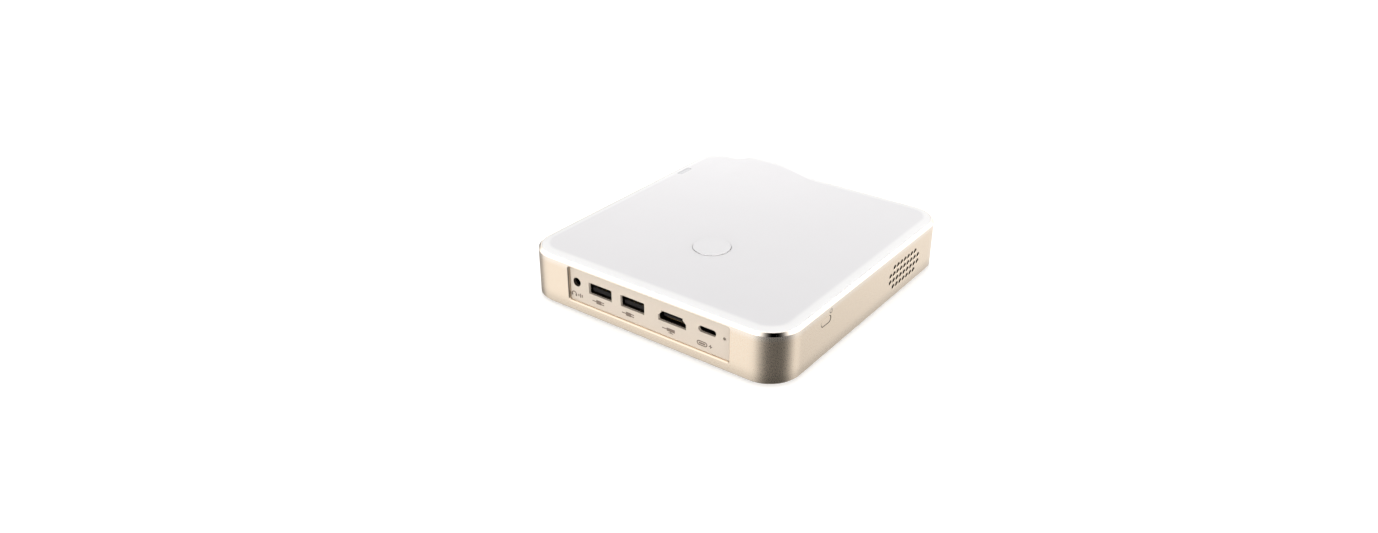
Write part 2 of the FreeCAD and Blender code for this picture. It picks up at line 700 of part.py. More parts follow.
def case_screws():
    """Four countersunk screws that clamp the base plate, the band and the cover together."""
    head_r = SINK_R - 3 * SLIP
    sunk = 0.08
    head_height = SINK_DEPTH - 2 * SLIP
    screws = []
    for x, y in four_corners(BOSS_X, BOSS_Y):
        head = Part.makeCone(head_r, CASE_SCREW_R, head_height, Vec(x, y, FOOT_HEIGHT + sunk))
        shank = disc(x, y, CASE_SCREW_R, FOOT_HEIGHT + head_height / 2, CASE_SCREW_END_Z)
        socket = hexagon(x, y, 2.0, FOOT_HEIGHT, FOOT_HEIGHT + 0.75)
        screws.append(head.fuse(shank).cut(socket).removeSplitter())
    return Part.makeCompound(screws)


# ------------------------------------------------------------------ ports
def video_bar(grow, y0, y1):
    """Bar with the video port's outline: wide at the bottom, with sloping shoulders above."""
    low, high = VIDEO_SHOULDER
    half = [(VIDEO_HALF_LOW + grow, -grow), (VIDEO_HALF_LOW + grow, low), (VIDEO_HALF_HIGH + grow, high),
            (VIDEO_HALF_HIGH + grow, VIDEO_HEIGHT + grow)]
    points = half + [(-x, z) for x, z in reversed(half)]
    corners = [Vec(VIDEO_X + x, y0, VIDEO_Z + z) for x, z in points]
    return Part.Face(Part.makePolygon(corners + corners[:1])).extrude(Vec(0, y1 - y0, 0))


def port_plate():
    """Plate set back in the band, pierced for the ports, with a flange behind the band wall."""
    wall_inside = FRONT_Y + BAND_WALL
    panel = port_bar(PLATE_GAP, PORT_CORNER_R - PLATE_GAP, PLATE_FRONT_Y, PLATE_BACK_Y)
    flange = box(PORT_LEFT - FLANGE_REACH, PORT_RIGHT + FLANGE_REACH, wall_inside + SLIP / 2,
                 wall_inside + FLANGE_THICK, PORT_BOTTOM - FLANGE_REACH, FLANGE_TOP_Z)
    window = box(PORT_LEFT + FLANGE_THICK, PORT_RIGHT - FLANGE_THICK / 2, wall_inside - THROUGH,
                 wall_inside + 2 * THROUGH, PORT_BOTTOM + FLANGE_THICK, PORT_TOP - FLANGE_THICK)
    plate = fuse([panel, flange.cut(window)])

    reach = (PLATE_FRONT_Y - THROUGH, PLATE_BACK_Y + THROUGH)
    cutters = [rod_y(JACK_X, JACK_Z, JACK_PLATE_HOLE_R, *reach)]
    cutters.append(rod_y(RESET_X, RESET_Z, RESET_HOLE_R, *reach))
    for x in USB_X:
        cutters.append(bar_y(x, USB_Z, USB_OPENING[0] + PORT_CLEARANCE, USB_OPENING[1] + PORT_CLEARANCE,
                             0.4, *reach))
    cutters.append(video_bar(PORT_CLEARANCE / 2, *reach))
    cutters.append(bar_y(TYPE_C_X, TYPE_C_Z, TYPE_C_OPENING[0] + PORT_CLEARANCE,
                         TYPE_C_OPENING[1] + PORT_CLEARANCE, TYPE_C_OPENING[1] / 2, *reach))
    return plate.cut(cutters)


def usb_port_shells():
    """Folded steel shells of the two USB ports."""
    shells = []
    width, height = USB_OPENING
    end = PORT_MOUTH_Y + USB_DEPTH
    for x in USB_X:
        outside = bar_y(x, USB_Z, width + 2 * USB_WALL, height + 2 * USB_WALL, 0.5, PORT_MOUTH_Y, end)
        inside = bar_y(x, USB_Z, width, height, 0.25, PORT_MOUTH_Y - THROUGH, end - USB_WALL)
        shells.append(outside.cut(inside))
    return Part.makeCompound(shells)


def usb_port_tongues():
    """Insulators of the USB ports: a tongue in the lower half and a block that fills the rear."""
    tongues = []
    rear = PORT_MOUTH_Y + USB_DEPTH - USB_WALL
    block_front = rear - USB_BLOCK_DEPTH
    for x in USB_X:
        tongue = box(x - USB_TONGUE_HALF, x + USB_TONGUE_HALF, PORT_MOUTH_Y + 0.6, block_front,
                     *USB_TONGUE_Z)
        block = bar_y(x, USB_Z, USB_OPENING[0] - 2 * SLIP, USB_OPENING[1] - 2 * SLIP, 0.3,
                      block_front - SLIP, rear - SLIP)
        tongues.append(fuse([tongue, block]))
    return Part.makeCompound(tongues)


def usb_port_contacts():
    """Four spring contacts on the tongue of each USB port."""
    z = USB_TONGUE_Z[1]
    return Part.makeCompound([box(x + offset - USB_CONTACT_HALF, x + offset + USB_CONTACT_HALF,
                                  *USB_CONTACT_Y, z, z + USB_CONTACT_THICK)
                              for x in USB_X for offset in USB_CONTACT_X])


def video_port_shell():
    """Folded steel shell of the video port."""
    end = PORT_MOUTH_Y + VIDEO_DEPTH
    inside = video_bar(0, PORT_MOUTH_Y - THROUGH, end - VIDEO_WALL)
    return video_bar(VIDEO_WALL, PORT_MOUTH_Y, end).cut(inside)


def video_port_tongue():
    """Insulator of the video port: a thin tongue on a rear block."""
    rear = PORT_MOUTH_Y + VIDEO_DEPTH - VIDEO_WALL
    block_front = rear - VIDEO_BLOCK_DEPTH
    tongue = box(VIDEO_X - VIDEO_TONGUE_HALF, VIDEO_X + VIDEO_TONGUE_HALF, PORT_MOUTH_Y + 0.8,
                 block_front, *VIDEO_TONGUE_Z)
    return fuse([tongue, video_bar(-SLIP, block_front - SLIP, rear - SLIP)])


def type_c_port_shell():
    """Drawn steel shell of the small reversible port."""
    width, height = TYPE_C_OPENING
    end = PORT_MOUTH_Y + TYPE_C_DEPTH
    outside = bar_y(TYPE_C_X, TYPE_C_Z, width + 2 * TYPE_C_WALL, height + 2 * TYPE_C_WALL,
                    height / 2 + TYPE_C_WALL - NEARLY, PORT_MOUTH_Y, end)
    inside = bar_y(TYPE_C_X, TYPE_C_Z, width, height, height / 2 - NEARLY, PORT_MOUTH_Y - THROUGH,
                   end - TYPE_C_WALL)
    return outside.cut(inside)


def type_c_port_tongue():
    """Insulator of the small reversible port."""
    rear = PORT_MOUTH_Y + TYPE_C_DEPTH - TYPE_C_WALL
    block_front = rear - TYPE_C_BLOCK_DEPTH
    tongue = bar_y(TYPE_C_X, TYPE_C_Z, *TYPE_C_TONGUE, 0.3, PORT_MOUTH_Y + 0.7, block_front)
    block = bar_y(TYPE_C_X, TYPE_C_Z, TYPE_C_OPENING[0] - 2 * SLIP, TYPE_C_OPENING[1] - 2 * SLIP, 1.2,
                  block_front - SLIP, rear - SLIP)
    return fuse([tongue, block])


def audio_jack_body():
    """Plastic body of the headphone socket, bored for the plug and the metal collar."""
    body = box(JACK_X - JACK_HALF_WIDTH, JACK_X + JACK_HALF_WIDTH, PORT_MOUTH_Y + 2 * SLIP,
               PORT_MOUTH_Y + JACK_LENGTH, JACK_Z - JACK_BELOW, BOARD_BOTTOM)
    bore = rod_y(JACK_X, JACK_Z, JACK_BORE_R, PORT_MOUTH_Y - THROUGH, PORT_MOUTH_Y + JACK_BORE_DEPTH)
    seat = rod_y(JACK_X, JACK_Z, JACK_BORE_R + COLLAR_WALL, PORT_MOUTH_Y - THROUGH,
                 PORT_MOUTH_Y + COLLAR_LENGTH)
    return body.cut([bore, seat])


def audio_jack_collar():
    """Metal collar in the mouth of the headphone socket."""
    mouth = PORT_MOUTH_Y - SLIP
    end = PORT_MOUTH_Y + COLLAR_LENGTH
    outside = rod_y(JACK_X, JACK_Z, JACK_BORE_R + COLLAR_WALL - NEARLY, mouth, end)
    return outside.cut(rod_y(JACK_X, JACK_Z, JACK_BORE_R, mouth - THROUGH, end + THROUGH))


# ------------------------------------------------------------------ buttons
def reset_switch_body():
    """Side-push switch under the front edge of the board."""
    width, depth, below = RESET_BODY
    body = box(RESET_X - width / 2, RESET_X + width / 2, RESET_FACE_Y, RESET_FACE_Y + depth,
               RESET_Z - below, BOARD_BOTTOM)
    return body.cut(rod_y(RESET_X, RESET_Z, RESET_PLUNGER_R + SLIP, RESET_FACE_Y - THROUGH,
                          RESET_FACE_Y + RESET_POCKET))


def reset_plunger():
    """Plunger behind the reset pinhole."""
    return rod_y(RESET_X, RESET_Z, RESET_PLUNGER_R, RESET_FACE_Y - RESET_PLUNGER_OUT,
                 RESET_FACE_Y + RESET_PLUNGER_IN)


def power_button_cap():
    """Pill-shaped cap, flush with the band, with a retaining flange and a rear boss."""
    flange_x = RIGHT_X - BAND_WALL - BUTTON_FLANGE_GAP
    face_x = RIGHT_X - BUTTON_SUNK
    width, height = BUTTON_SIZE
    head = bar_x(BUTTON_Y, BUTTON_Z, width, height, height / 2 - NEARLY, flange_x, face_x)
    rim = [e for e in head.Edges if e.BoundBox.XMin > face_x - SLIP]
    head = head.makeFillet(BUTTON_EDGE_R, rim)
    flange_width, flange_height, flange_thick = BUTTON_FLANGE
    flange = bar_x(BUTTON_Y, BUTTON_Z, flange_width, flange_height, 2.0, flange_x - flange_thick, flange_x)
    boss = rod_x(BUTTON_Y, BUTTON_Z, BUTTON_BOSS_R, SWITCH_FACE_X + SWITCH_PLUNGER_OUT,
                 flange_x - flange_thick)
    return fuse([head, flange, boss])


def power_switch_plunger():
    """Plunger of the power switch, in line with the cap's boss."""
    return rod_x(BUTTON_Y, BUTTON_Z, SWITCH_PLUNGER_R, SWITCH_FACE_X - SWITCH_PLUNGER_IN,
                 SWITCH_FACE_X + SWITCH_PLUNGER_OUT)


def power_switch_body():
    """Push switch on the upright switch board."""
    width, height = SWITCH_BODY
    body = box(SWITCH_BOARD_X + SWITCH_BOARD_THICK, SWITCH_FACE_X, BUTTON_Y - width / 2,
               BUTTON_Y + width / 2, BUTTON_Z - height / 2, BUTTON_Z + height / 2)
    return body.cut(rod_x(BUTTON_Y, BUTTON_Z, SWITCH_POCKET_R, SWITCH_FACE_X - SWITCH_POCKET,
                          SWITCH_FACE_X + THROUGH))


def switch_board_low():
    """Height of the lower edge of the switch board."""
    return BASE_TOP_Z + 4 * SLIP


def power_switch_board():
    """Small upright circuit board held in the rails of the base plate."""
    return box(SWITCH_BOARD_X, SWITCH_BOARD_X + SWITCH_BOARD_THICK, *SWITCH_BOARD_Y,
               switch_board_low(), SWITCH_BOARD_TOP)


def ribbon_side(offset):
    """One long side of the flat cable in the XZ plane: in from the board, round a bend and up."""
    x = RIBBON_X + offset
    z = RIBBON_Z + offset
    corner = (RIBBON_X + RIBBON_BEND_R, RIBBON_Z + RIBBON_BEND_R)
    reach = (RIBBON_BEND_R - offset) * math.sqrt(0.5)
    start = Vec(SWITCH_BOARD_X, 0, z)
    bend_start = Vec(corner[0], 0, z)
    bend_end = Vec(x, 0, corner[1])
    end = Vec(x, 0, BOARD_BOTTOM)
    bend_middle = Vec(corner[0] - reach, 0, corner[1] - reach)
    edges = [Part.makeLine(start, bend_start), Part.Arc(bend_start, bend_middle, bend_end).toShape(),
             Part.makeLine(bend_end, end)]
    return start, end, edges


def power_switch_cable():
    """Flat cable from the switch board to the underside of the mainboard."""
    outer_start, outer_end, outer = ribbon_side(0)
    inner_start, inner_end, inner = ribbon_side(RIBBON_THICK)
    ends = [Part.makeLine(outer_start, inner_start), Part.makeLine(outer_end, inner_end)]
    outline = Part.Wire(Part.__sortEdges__(outer + inner + ends))
    strip = Part.Face(outline).extrude(Vec(0, RIBBON_WIDTH, 0))
    strip.translate(Vec(0, BUTTON_Y - RIBBON_WIDTH / 2, 0))
    return strip


# ------------------------------------------------------------------ mainboard
def mainboard():
    """L-shaped circuit board, notched round the cover's bosses and the switch board."""
    corners = [(-BOARD_SIDE_X, BOARD_FRONT_Y), (BOARD_SIDE_X, BOARD_FRONT_Y), (BOARD_SIDE_X, BOARD_STEP_Y),
               (BOARD_STEP_X, BOARD_STEP_Y), (BOARD_STEP_X, BOARD_REAR_Y), (-BOARD_SIDE_X, BOARD_REAR_Y)]
    points = [Vec(x, y, BOARD_BOTTOM) for x, y in corners]
    board = Part.Face(Part.makePolygon(points + points[:1])).extrude(Vec(0, 0, BOARD_THICK))
    span = (BOARD_BOTTOM - THROUGH, BOARD_TOP + THROUGH)
    notch_x = BOSS_X - BOSS_R - BOSS_NOTCH
    notch_y = BOSS_Y - BOSS_R - BOSS_NOTCH
    switch_x, switch_front, switch_rear = SWITCH_NOTCH
    cutters = [box(-WIDTH, -notch_x, -DEPTH, -notch_y, *span), box(notch_x, WIDTH, -DEPTH, -notch_y, *span),
               box(-WIDTH, -notch_x, notch_y, DEPTH, *span),
               box(switch_x, WIDTH, switch_front, switch_rear, *span)]
    cutters += [disc(x, y, BOARD_HOLE_R, *span) for x, y in STANDOFFS]
    cutters += [disc(x, y, COOLER_BOARD_HOLE_R, *span) for x, y in cooler_points()]
    return board.cut(cutters)


def board_standoffs():
    """Brass hexagonal standoffs pressed into the base plate, with tapped tops."""
    parts = []
    for x, y in STANDOFFS:
        post = hexagon(x, y, STANDOFF_ACROSS, BASE_TOP_Z, BOARD_BOTTOM)
        spigot = disc(x, y, SPIGOT_R, BASE_TOP_Z - SPIGOT_LENGTH, BASE_TOP_Z)
        thread = disc(x, y, PILOT_R, BOARD_BOTTOM - STANDOFF_THREAD, BOARD_BOTTOM + THROUGH)
        parts.append(post.fuse(spigot).cut(thread))
    return Part.makeCompound(parts)


def board_screws():
    """Screws that hold the mainboard on its standoffs."""
    return Part.makeCompound([pan_screw(x, y, BOARD_TOP, 2.2, 1.2, 1.2, 5.5) for x, y in STANDOFFS])


def chips_below(places, height):
    """Flat components under the board: a list of (x, y, width, depth)."""
    return Part.makeCompound([block_at(x, y, width, depth, BOARD_BOTTOM - height, BOARD_BOTTOM)
                              for x, y, width, depth in places])


def memory_chips():
    """Four memory packages beside the processor."""
    return chips_below(MEMORY_CHIPS, MEMORY_HEIGHT)


def controller_chips():
    """Packages that drive the ports, the sound, the power and the start-up memory."""
    return chips_below(CONTROLLER_CHIPS, CONTROLLER_HEIGHT)


def power_inductors():
    """Moulded coils of the voltage regulator, in a row behind the processor."""
    start_x, y = INDUCTOR_START
    low = BOARD_BOTTOM - INDUCTOR_HEIGHT
    coils = []
    for step in range(INDUCTOR_COUNT):
        x = start_x + INDUCTOR_PITCH * step
        coil = rounded_block(x, y, INDUCTOR_SIZE, INDUCTOR_SIZE, 0.8, low, BOARD_BOTTOM)
        coils.append(coil.makeChamfer(0.4, edges_at_height(coil, low)))
    return Part.makeCompound(coils)


def capacitors():
    """Polymer capacitors on top of the board, each can on a square base."""
    can_low = BOARD_TOP + SOLDER_BASE
    can_top = BOARD_TOP + CAPACITOR_HEIGHT
    cans = []
    for x, y in CAPACITOR_PLACES:
        base = block_at(x, y, CAPACITOR_BASE, CAPACITOR_BASE, BOARD_TOP, can_low)
        can = disc(x, y, CAPACITOR_R, can_low, can_top)
        can = can.makeFillet(0.4, edges_at_height(can, can_top))
        cans.append(fuse([base, can]))
    return Part.makeCompound(cans)


def infrared_sensor():
    """Receiver with a small dome, under the sensor window."""
    width, depth, height = SENSOR_SIZE
    body = block_at(SENSOR_X, WINDOW_Y, width, depth, BOARD_TOP, BOARD_TOP + height)
    dome = Part.makeSphere(SENSOR_DOME_R, Vec(SENSOR_X, WINDOW_Y, BOARD_TOP + height - 0.2))
    below = block_at(SENSOR_X, WINDOW_Y, width, depth, BOARD_TOP, BOARD_TOP + height - 0.1)
    return fuse([body, dome.cut(below)])


def battery_holder():
    """Plastic cup for the clock battery."""
    cup = disc(BATTERY_X, BATTERY_Y, BATTERY_R + HOLDER_WALL, BOARD_TOP, BOARD_TOP + HOLDER_HEIGHT)
    return cup.cut(disc(BATTERY_X, BATTERY_Y, BATTERY_R + 2 * SLIP, BOARD_TOP + SOLDER_BASE, TOP_Z))


def clock_battery():
    """Coin cell that keeps the clock running."""
    low = BOARD_TOP + SOLDER_BASE
    cell = disc(BATTERY_X, BATTERY_Y, BATTERY_R, low, low + BATTERY_THICK)
    return cell.makeFillet(0.3, edges_at_height(cell, low + BATTERY_THICK))


# ------------------------------------------------------------------ plug-in modules
def module_socket(x, edge_y):
    """Edge connector whose slot takes the front edge of a module."""
    half_width, half_depth = SOCKET_HALF
    step_low = MODULE_Z - SLIP
    rear = edge_y + half_depth + THROUGH
    body = box(x - half_width, x + half_width, edge_y - half_depth, edge_y + half_depth, BOARD_TOP,
               BOARD_TOP + SOCKET_HEIGHT)
    step = box(x - half_width - THROUGH, x + half_width + THROUGH, edge_y + SOCKET_STEP_Y, rear,
               step_low, TOP_Z)
    slot = box(x - SOCKET_SLOT_HALF, x + SOCKET_SLOT_HALF, edge_y - SLIP, rear, step_low, MODULE_TOP + SLIP)
    return body.cut([slot, step])


def module_card(x, span_y, chips):
    """Circuit card with a screw notch at its rear edge and chips given as (y, width, depth)."""
    card = box(x - MODULE_WIDTH / 2, x + MODULE_WIDTH / 2, *span_y, MODULE_Z, MODULE_TOP)
    card = card.cut(disc(x, span_y[1], BOARD_HOLE_R, MODULE_Z - THROUGH, MODULE_TOP + THROUGH))
    packages = [block_at(x, y, width, depth, MODULE_TOP, MODULE_TOP + MODULE_CHIP_HEIGHT)
                for y, width, depth in chips]
    return fuse([card] + packages)


def ssd_module():
    """Solid-state drive card."""
    return module_card(SSD_X, SSD_Y, SSD_CHIPS)


def ssd_socket():
    """Connector of the solid-state drive."""
    return module_socket(SSD_X, SSD_Y[0])


def receptacle_points():
    """Places of the two antenna receptacles on the wireless card, left one first."""
    return [(WIFI_X + side * RECEPTACLE_DX, WIFI_Y[1] - RECEPTACLE_INSET) for side in (-1, 1)]


def wifi_module():
    """Wireless card with a shield can and two antenna receptacles."""
    card = module_card(WIFI_X, WIFI_Y, WIFI_CHIPS)
    receptacles = [disc(x, y, RECEPTACLE_R, MODULE_TOP, MODULE_TOP + RECEPTACLE_HEIGHT)
                   for x, y in receptacle_points()]
    return fuse([card] + receptacles)


def wifi_socket():
    """Connector of the wireless card."""
    return module_socket(WIFI_X, WIFI_Y[0])


def module_points():
    """Where the two cards are screwed down."""
    return [(SSD_X, SSD_Y[1]), (WIFI_X, WIFI_Y[1])]


def module_standoffs():
    """Short standoffs under the free ends of the cards."""
    return Part.makeCompound([ring(x, y, *MODULE_STANDOFF_R, BOARD_TOP, MODULE_Z)
                              for x, y in module_points()])


def module_screws():
    """Screws that hold the free ends of the cards."""
    return Part.makeCompound([pan_screw(x, y, MODULE_TOP, 2.2, 0.9, 0.9, 2.1) for x, y in module_points()])


def wifi_antennas():
    """Two flat antennas stuck under the cover, one of them inside the hump."""
    return Part.makeCompound([box(-38, -17, 58, 65, hump_roof() - ANTENNA_THICK, hump_roof()),
                              box(20, 45, 59, 66, COVER_UNDERSIDE - ANTENNA_THICK, COVER_UNDERSIDE)])


def round_cable(points, r):
    """Cable of radius r along a smooth curve through the points."""
    curve = Part.BSplineCurve()
    curve.interpolate([Vec(*p) for p in points])
    path = Part.Wire([curve.toShape()])
    start = curve.value(curve.FirstParameter)
    direction = curve.tangent(curve.FirstParameter)[0]
    profile = Part.Wire([Part.makeCircle(r, start, direction)])
    return path.makePipeShell([profile], True, False)


def antenna_cables():
    """Thin coaxial cables, each with a snap plug, from the wireless card to the antennas."""
    plug_z = MODULE_TOP + RECEPTACLE_HEIGHT
    start_z = plug_z + CABLE_R
    cables = []
    ways = zip(receptacle_points(), (-2.0, 0.5), (LEFT_CABLE_WAY, RIGHT_CABLE_WAY))
    for (x, y), sideways, way in ways:
        plug = disc(x, y, CABLE_PLUG_R, plug_z, plug_z + 2 * CABLE_R)
        cable = round_cable([(x, y, start_z), (x + sideways, y + 3, start_z)] + way, CABLE_R)
        cables.append(fuse([plug, cable]))
    return Part.makeCompound(cables)


# ------------------------------------------------------------------ cooler
def cooler_points():
    """Places of the four cooler screws."""
    return [(CPU_X + sx * COOLER_SCREW_DX, CPU_Y + sy * COOLER_SCREW_DY)
            for sx in (-1, 1) for sy in (-1, 1)]


def processor():
    """Processor package: a square carrier with a smaller raised die under it."""
    carrier_low = BOARD_BOTTOM - CPU_CARRIER_HEIGHT
    carrier = block_at(CPU_X, CPU_Y, CPU_CARRIER, CPU_CARRIER, carrier_low, BOARD_BOTTOM)
    die = block_at(CPU_X, CPU_Y, CPU_DIE, CPU_DIE, COLD_PLATE_TOP + PAD_THICK, carrier_low)
    return fuse([carrier, die])


def thermal_pad():
    """Soft pad between the die and the cold plate."""
    return block_at(CPU_X, CPU_Y, PAD_SIZE, PAD_SIZE, COLD_PLATE_TOP, COLD_PLATE_TOP + PAD_THICK)


def cold_plate():
    """Copper plate pressed on the processor by four sprung screws."""
    width, depth, thick = COLD_PLATE
    low = COLD_PLATE_TOP - thick
    plate = rounded_block(CPU_X, CPU_Y, width, depth, COLD_PLATE_R, low, COLD_PLATE_TOP)
    return plate.cut([disc(x, y, COLD_PLATE_HOLE_R, low - THROUGH, COLD_PLATE_TOP + THROUGH)
                      for x, y in cooler_points()])


def heat_pipe():
    """Flattened copper pipe from the cold plate to the fins, with one quarter bend."""
    z = COLD_PLATE_TOP - COLD_PLATE[2] - PIPE_THICK / 2
    bend_x = PIPE_X - PIPE_BEND_R
    bend_y = CPU_Y + PIPE_BEND_R
    start_x = CPU_X - COLD_PLATE[0] / 2 + PIPE_START_INSET
    half_round = PIPE_THICK / 2 - NEARLY
    first = bar_x(CPU_Y, z, PIPE_WIDTH, PIPE_THICK, half_round, start_x, bend_x)
    section = [f for f in first.Faces if f.BoundBox.XMin > bend_x - TOUCH][0]
    bend = section.revolve(Vec(bend_x, bend_y, z), Vec(0, 0, 1), 90)
    last = bar_y(PIPE_X, z, PIPE_WIDTH, PIPE_THICK, half_round, bend_y, PIPE_END_Y)
    return fuse([first, bend, last])


def fin_stack():
    """Soldered stack of thin fins round the end of the heat pipe."""
    stack = box(*FINS_X, *FINS_Y, *FINS_Z)
    pitch = (FINS_Y[1] - FINS_Y[0] - FIN_THICK) / FIN_COUNT
    channels = []
    for step in range(FIN_COUNT):
        y = FINS_Y[0] + FIN_THICK + step * pitch
        channels.append(box(FINS_X[0] - THROUGH, FINS_X[1] + THROUGH, y, y + pitch - FIN_THICK,
                            FINS_Z[0] + FIN_THICK, FINS_Z[1] - FIN_THICK))
    return stack.cut(channels).cut(heat_pipe())


def cooler_screws():
    """Screws that pull the cold plate up against the processor, heads down."""
    head_low = COOLER_HEAD_Z - 1
    screws = []
    for x, y in cooler_points():
        head = disc(x, y, COOLER_SCREW_HEAD_R, head_low, COOLER_HEAD_Z)
        shank = disc(x, y, COOLER_SCREW_R, COOLER_HEAD_Z, BOARD_TOP)
        socket = hexagon(x, y, 2.0, head_low, head_low + 0.6)
        screws.append(head.fuse(shank).cut(socket).removeSplitter())
    return Part.makeCompound(screws)


def cooler_springs():
    """Compression springs between the screw heads and the cold plate, bent in short straight steps."""
    low = COOLER_HEAD_Z + SPRING_WIRE_R + SPRING_GAP
    high = COLD_PLATE_TOP - COLD_PLATE[2] - SPRING_WIRE_R - SPRING_GAP
    steps = SPRING_TURNS * SPRING_SIDES
    springs = []
    for x, y in cooler_points():
        points = [Vec(*around(x, y, SPRING_R, 360 * i / SPRING_SIDES), low + (high - low) * i / steps)
                  for i in range(steps + 1)]
        profile = Part.Wire([Part.makeCircle(SPRING_WIRE_R, points[0], points[1] - points[0])])
        mitred = 1
        springs.append(Part.makePolygon(points).makePipeShell([profile], True, False, mitred))
    return Part.makeCompound(springs)


# ------------------------------------------------------------------ blower
def fan_slab(z0, z1):
    """Block with the blower's square outline."""
    side = FAN_X[1] - FAN_X[0]
    return rounded_block(sum(FAN_X) / 2, sum(FAN_Y) / 2, side, side, FAN_CORNER_R, z0, z1)


def fan_housing():
    """Moulded scroll with a bearing tube, open below and towards the fins."""
    shell = fan_slab(SCROLL_FLOOR_Z, FAN_Z[1])
    scroll = disc(ROTOR_X, ROTOR_Y, SCROLL_R, 0, SCROLL_ROOF_Z)
    outlet = box(ROTOR_X, FAN_X[1] + THROUGH, *FINS_Y, 0, SCROLL_ROOF_Z)
    shell = shell.cut(fuse([scroll, outlet]))
    tube = ring(ROTOR_X, ROTOR_Y, BEARING_R, TUBE_R, TUBE_LOW_Z, SCROLL_ROOF_Z)
    cutters = []
    for x, y in FAN_SCREWS:
        cutters.append(disc(x, y, FAN_SCREW_HOLE_R, 0, TOP_Z))
        cutters.append(disc(x, y, FAN_SCREW_SINK_R, FAN_Z[1] - FAN_SCREW_SINK, TOP_Z))
    return fuse([shell.cut(cutters), tube])


def fan_cover():
    """Steel sheet under the blower with its round intake."""
    holes = [disc(x, y, FAN_SCREW_HOLE_R, 0, TOP_Z) for x, y in FAN_SCREWS]
    return fan_slab(FAN_Z[0], SCROLL_FLOOR_Z).cut([disc(ROTOR_X, ROTOR_Y, FAN_INTAKE_R, 0, TOP_Z)] + holes)


def fan_blade(angle):
    """One curved blade, swept back between the hub and the rotor's edge."""
    low = SCROLL_FLOOR_Z + BLADE_GAP[0]
    high = SCROLL_ROOF_Z - BLADE_GAP[1]
    radii = (HUB_R - HUB_WALL / 3, (HUB_R + ROTOR_R) / 2, ROTOR_R)
    front = []
    back = []
    for r, turn in zip(radii, BLADE_SWEEP):
        thick_angle = math.degrees(BLADE_THICK / r)
        front.append(Vec(*around(ROTOR_X, ROTOR_Y, r, angle + turn), low))
        back.append(Vec(*around(ROTOR_X, ROTOR_Y, r, angle + turn + thick_angle), low))
    edges = [Part.Arc(*front).toShape(), Part.makeLine(front[2], back[2]),
             Part.Arc(back[2], back[1], back[0]).toShape(), Part.makeLine(back[0], front[0])]
    return Part.Face(Part.Wire(edges)).extrude(Vec(0, 0, high - low))


def fan_impeller():
    """Hub cup with curved blades; its floor faces the intake."""
    low, high = HUB_Z
    floor = disc(ROTOR_X, ROTOR_Y, HUB_R, low, low + HUB_WALL)
    floor = floor.makeFillet(HUB_EDGE_R, edges_at_height(floor, low))
    wall = ring(ROTOR_X, ROTOR_Y, HUB_R - HUB_WALL, HUB_R, low + HUB_WALL, high)
    blades = [fan_blade(360 * step / BLADE_COUNT) for step in range(BLADE_COUNT)]
    return fuse([floor, wall] + blades).cut(disc(ROTOR_X, ROTOR_Y, SHAFT_R, SHAFT_Z[0], high))


def fan_shaft():
    """Steel shaft pressed into the hub."""
    return disc(ROTOR_X, ROTOR_Y, SHAFT_R, *SHAFT_Z)


def fan_magnet():
    """Ring magnet glued inside the hub."""
    return ring(ROTOR_X, ROTOR_Y, MAGNET_R, HUB_R - HUB_WALL, *MAGNET_Z)


def fan_bearing():
    """Sintered sleeve bearing in the housing's tube."""
    return ring(ROTOR_X, ROTOR_Y, SHAFT_R + BEARING_SLIP, BEARING_R, *BEARING_Z)


def radial_arms(first_angle, width, radii, heights):
    """Four radial bars round the rotor axis."""
    arms = []
    for angle in range(first_angle, first_angle + 360, 90):
        arm = box(ROTOR_X + radii[0], ROTOR_X + radii[1], ROTOR_Y - width / 2, ROTOR_Y + width / 2,
                  *heights)
        arm.rotate(Vec(ROTOR_X, ROTOR_Y, 0), Vec(0, 0, 1), angle)
        arms.append(arm)
    return arms


def core_arms():
    """The four arms of the stator core."""
    return radial_arms(45, CORE_ARM_WIDTH, CORE_ARM_R, CORE_Z)


def fan_stator():
    """Laminated core: a hub on the bearing tube, four arms and four curved pole shoes."""
    hub = ring(ROTOR_X, ROTOR_Y, TUBE_R, CORE_HUB_R, *CORE_Z)
    gaps = radial_arms(0, CORE_GAP_WIDTH, (CORE_HUB_R, HUB_R), MAGNET_Z)
    shoes = ring(ROTOR_X, ROTOR_Y, *CORE_SHOE_R, *CORE_Z).cut(gaps)
    return fuse([hub, shoes] + core_arms())


def fan_coils():
    """Copper windings round the four arms of the core."""
    bobbins = radial_arms(45, COIL_WIDTH, COIL_R, COIL_Z)
    return Part.makeCompound([bobbin.cut(arm) for bobbin, arm in zip(bobbins, core_arms())])


def fan_cable():
    """Four wires from the blower to a plug under the board."""
    plug = box(*FAN_PLUG_X, *FAN_PLUG_Y, BOARD_BOTTOM - FAN_PLUG_HEIGHT, BOARD_BOTTOM)
    wires = []
    for step in range(FAN_WIRE_COUNT):
        y = FAN_WIRE_START_Y + FAN_WIRE_PITCH * step
        wire = round_cable([(x, y, z) for x, z in FAN_WIRE_PATH], FAN_WIRE_R)
        wires.append(wire.cut(plug))
    return Part.makeCompound(wires + [plug])


def fan_screws():
    """Screws that hold the blower on the posts of the base plate."""
    seat_z = FAN_Z[1] - FAN_SCREW_SINK
    return Part.makeCompound([pan_screw(x, y, seat_z, 2.1, 1.2, 1.0, 9.6) for x, y in FAN_SCREWS])


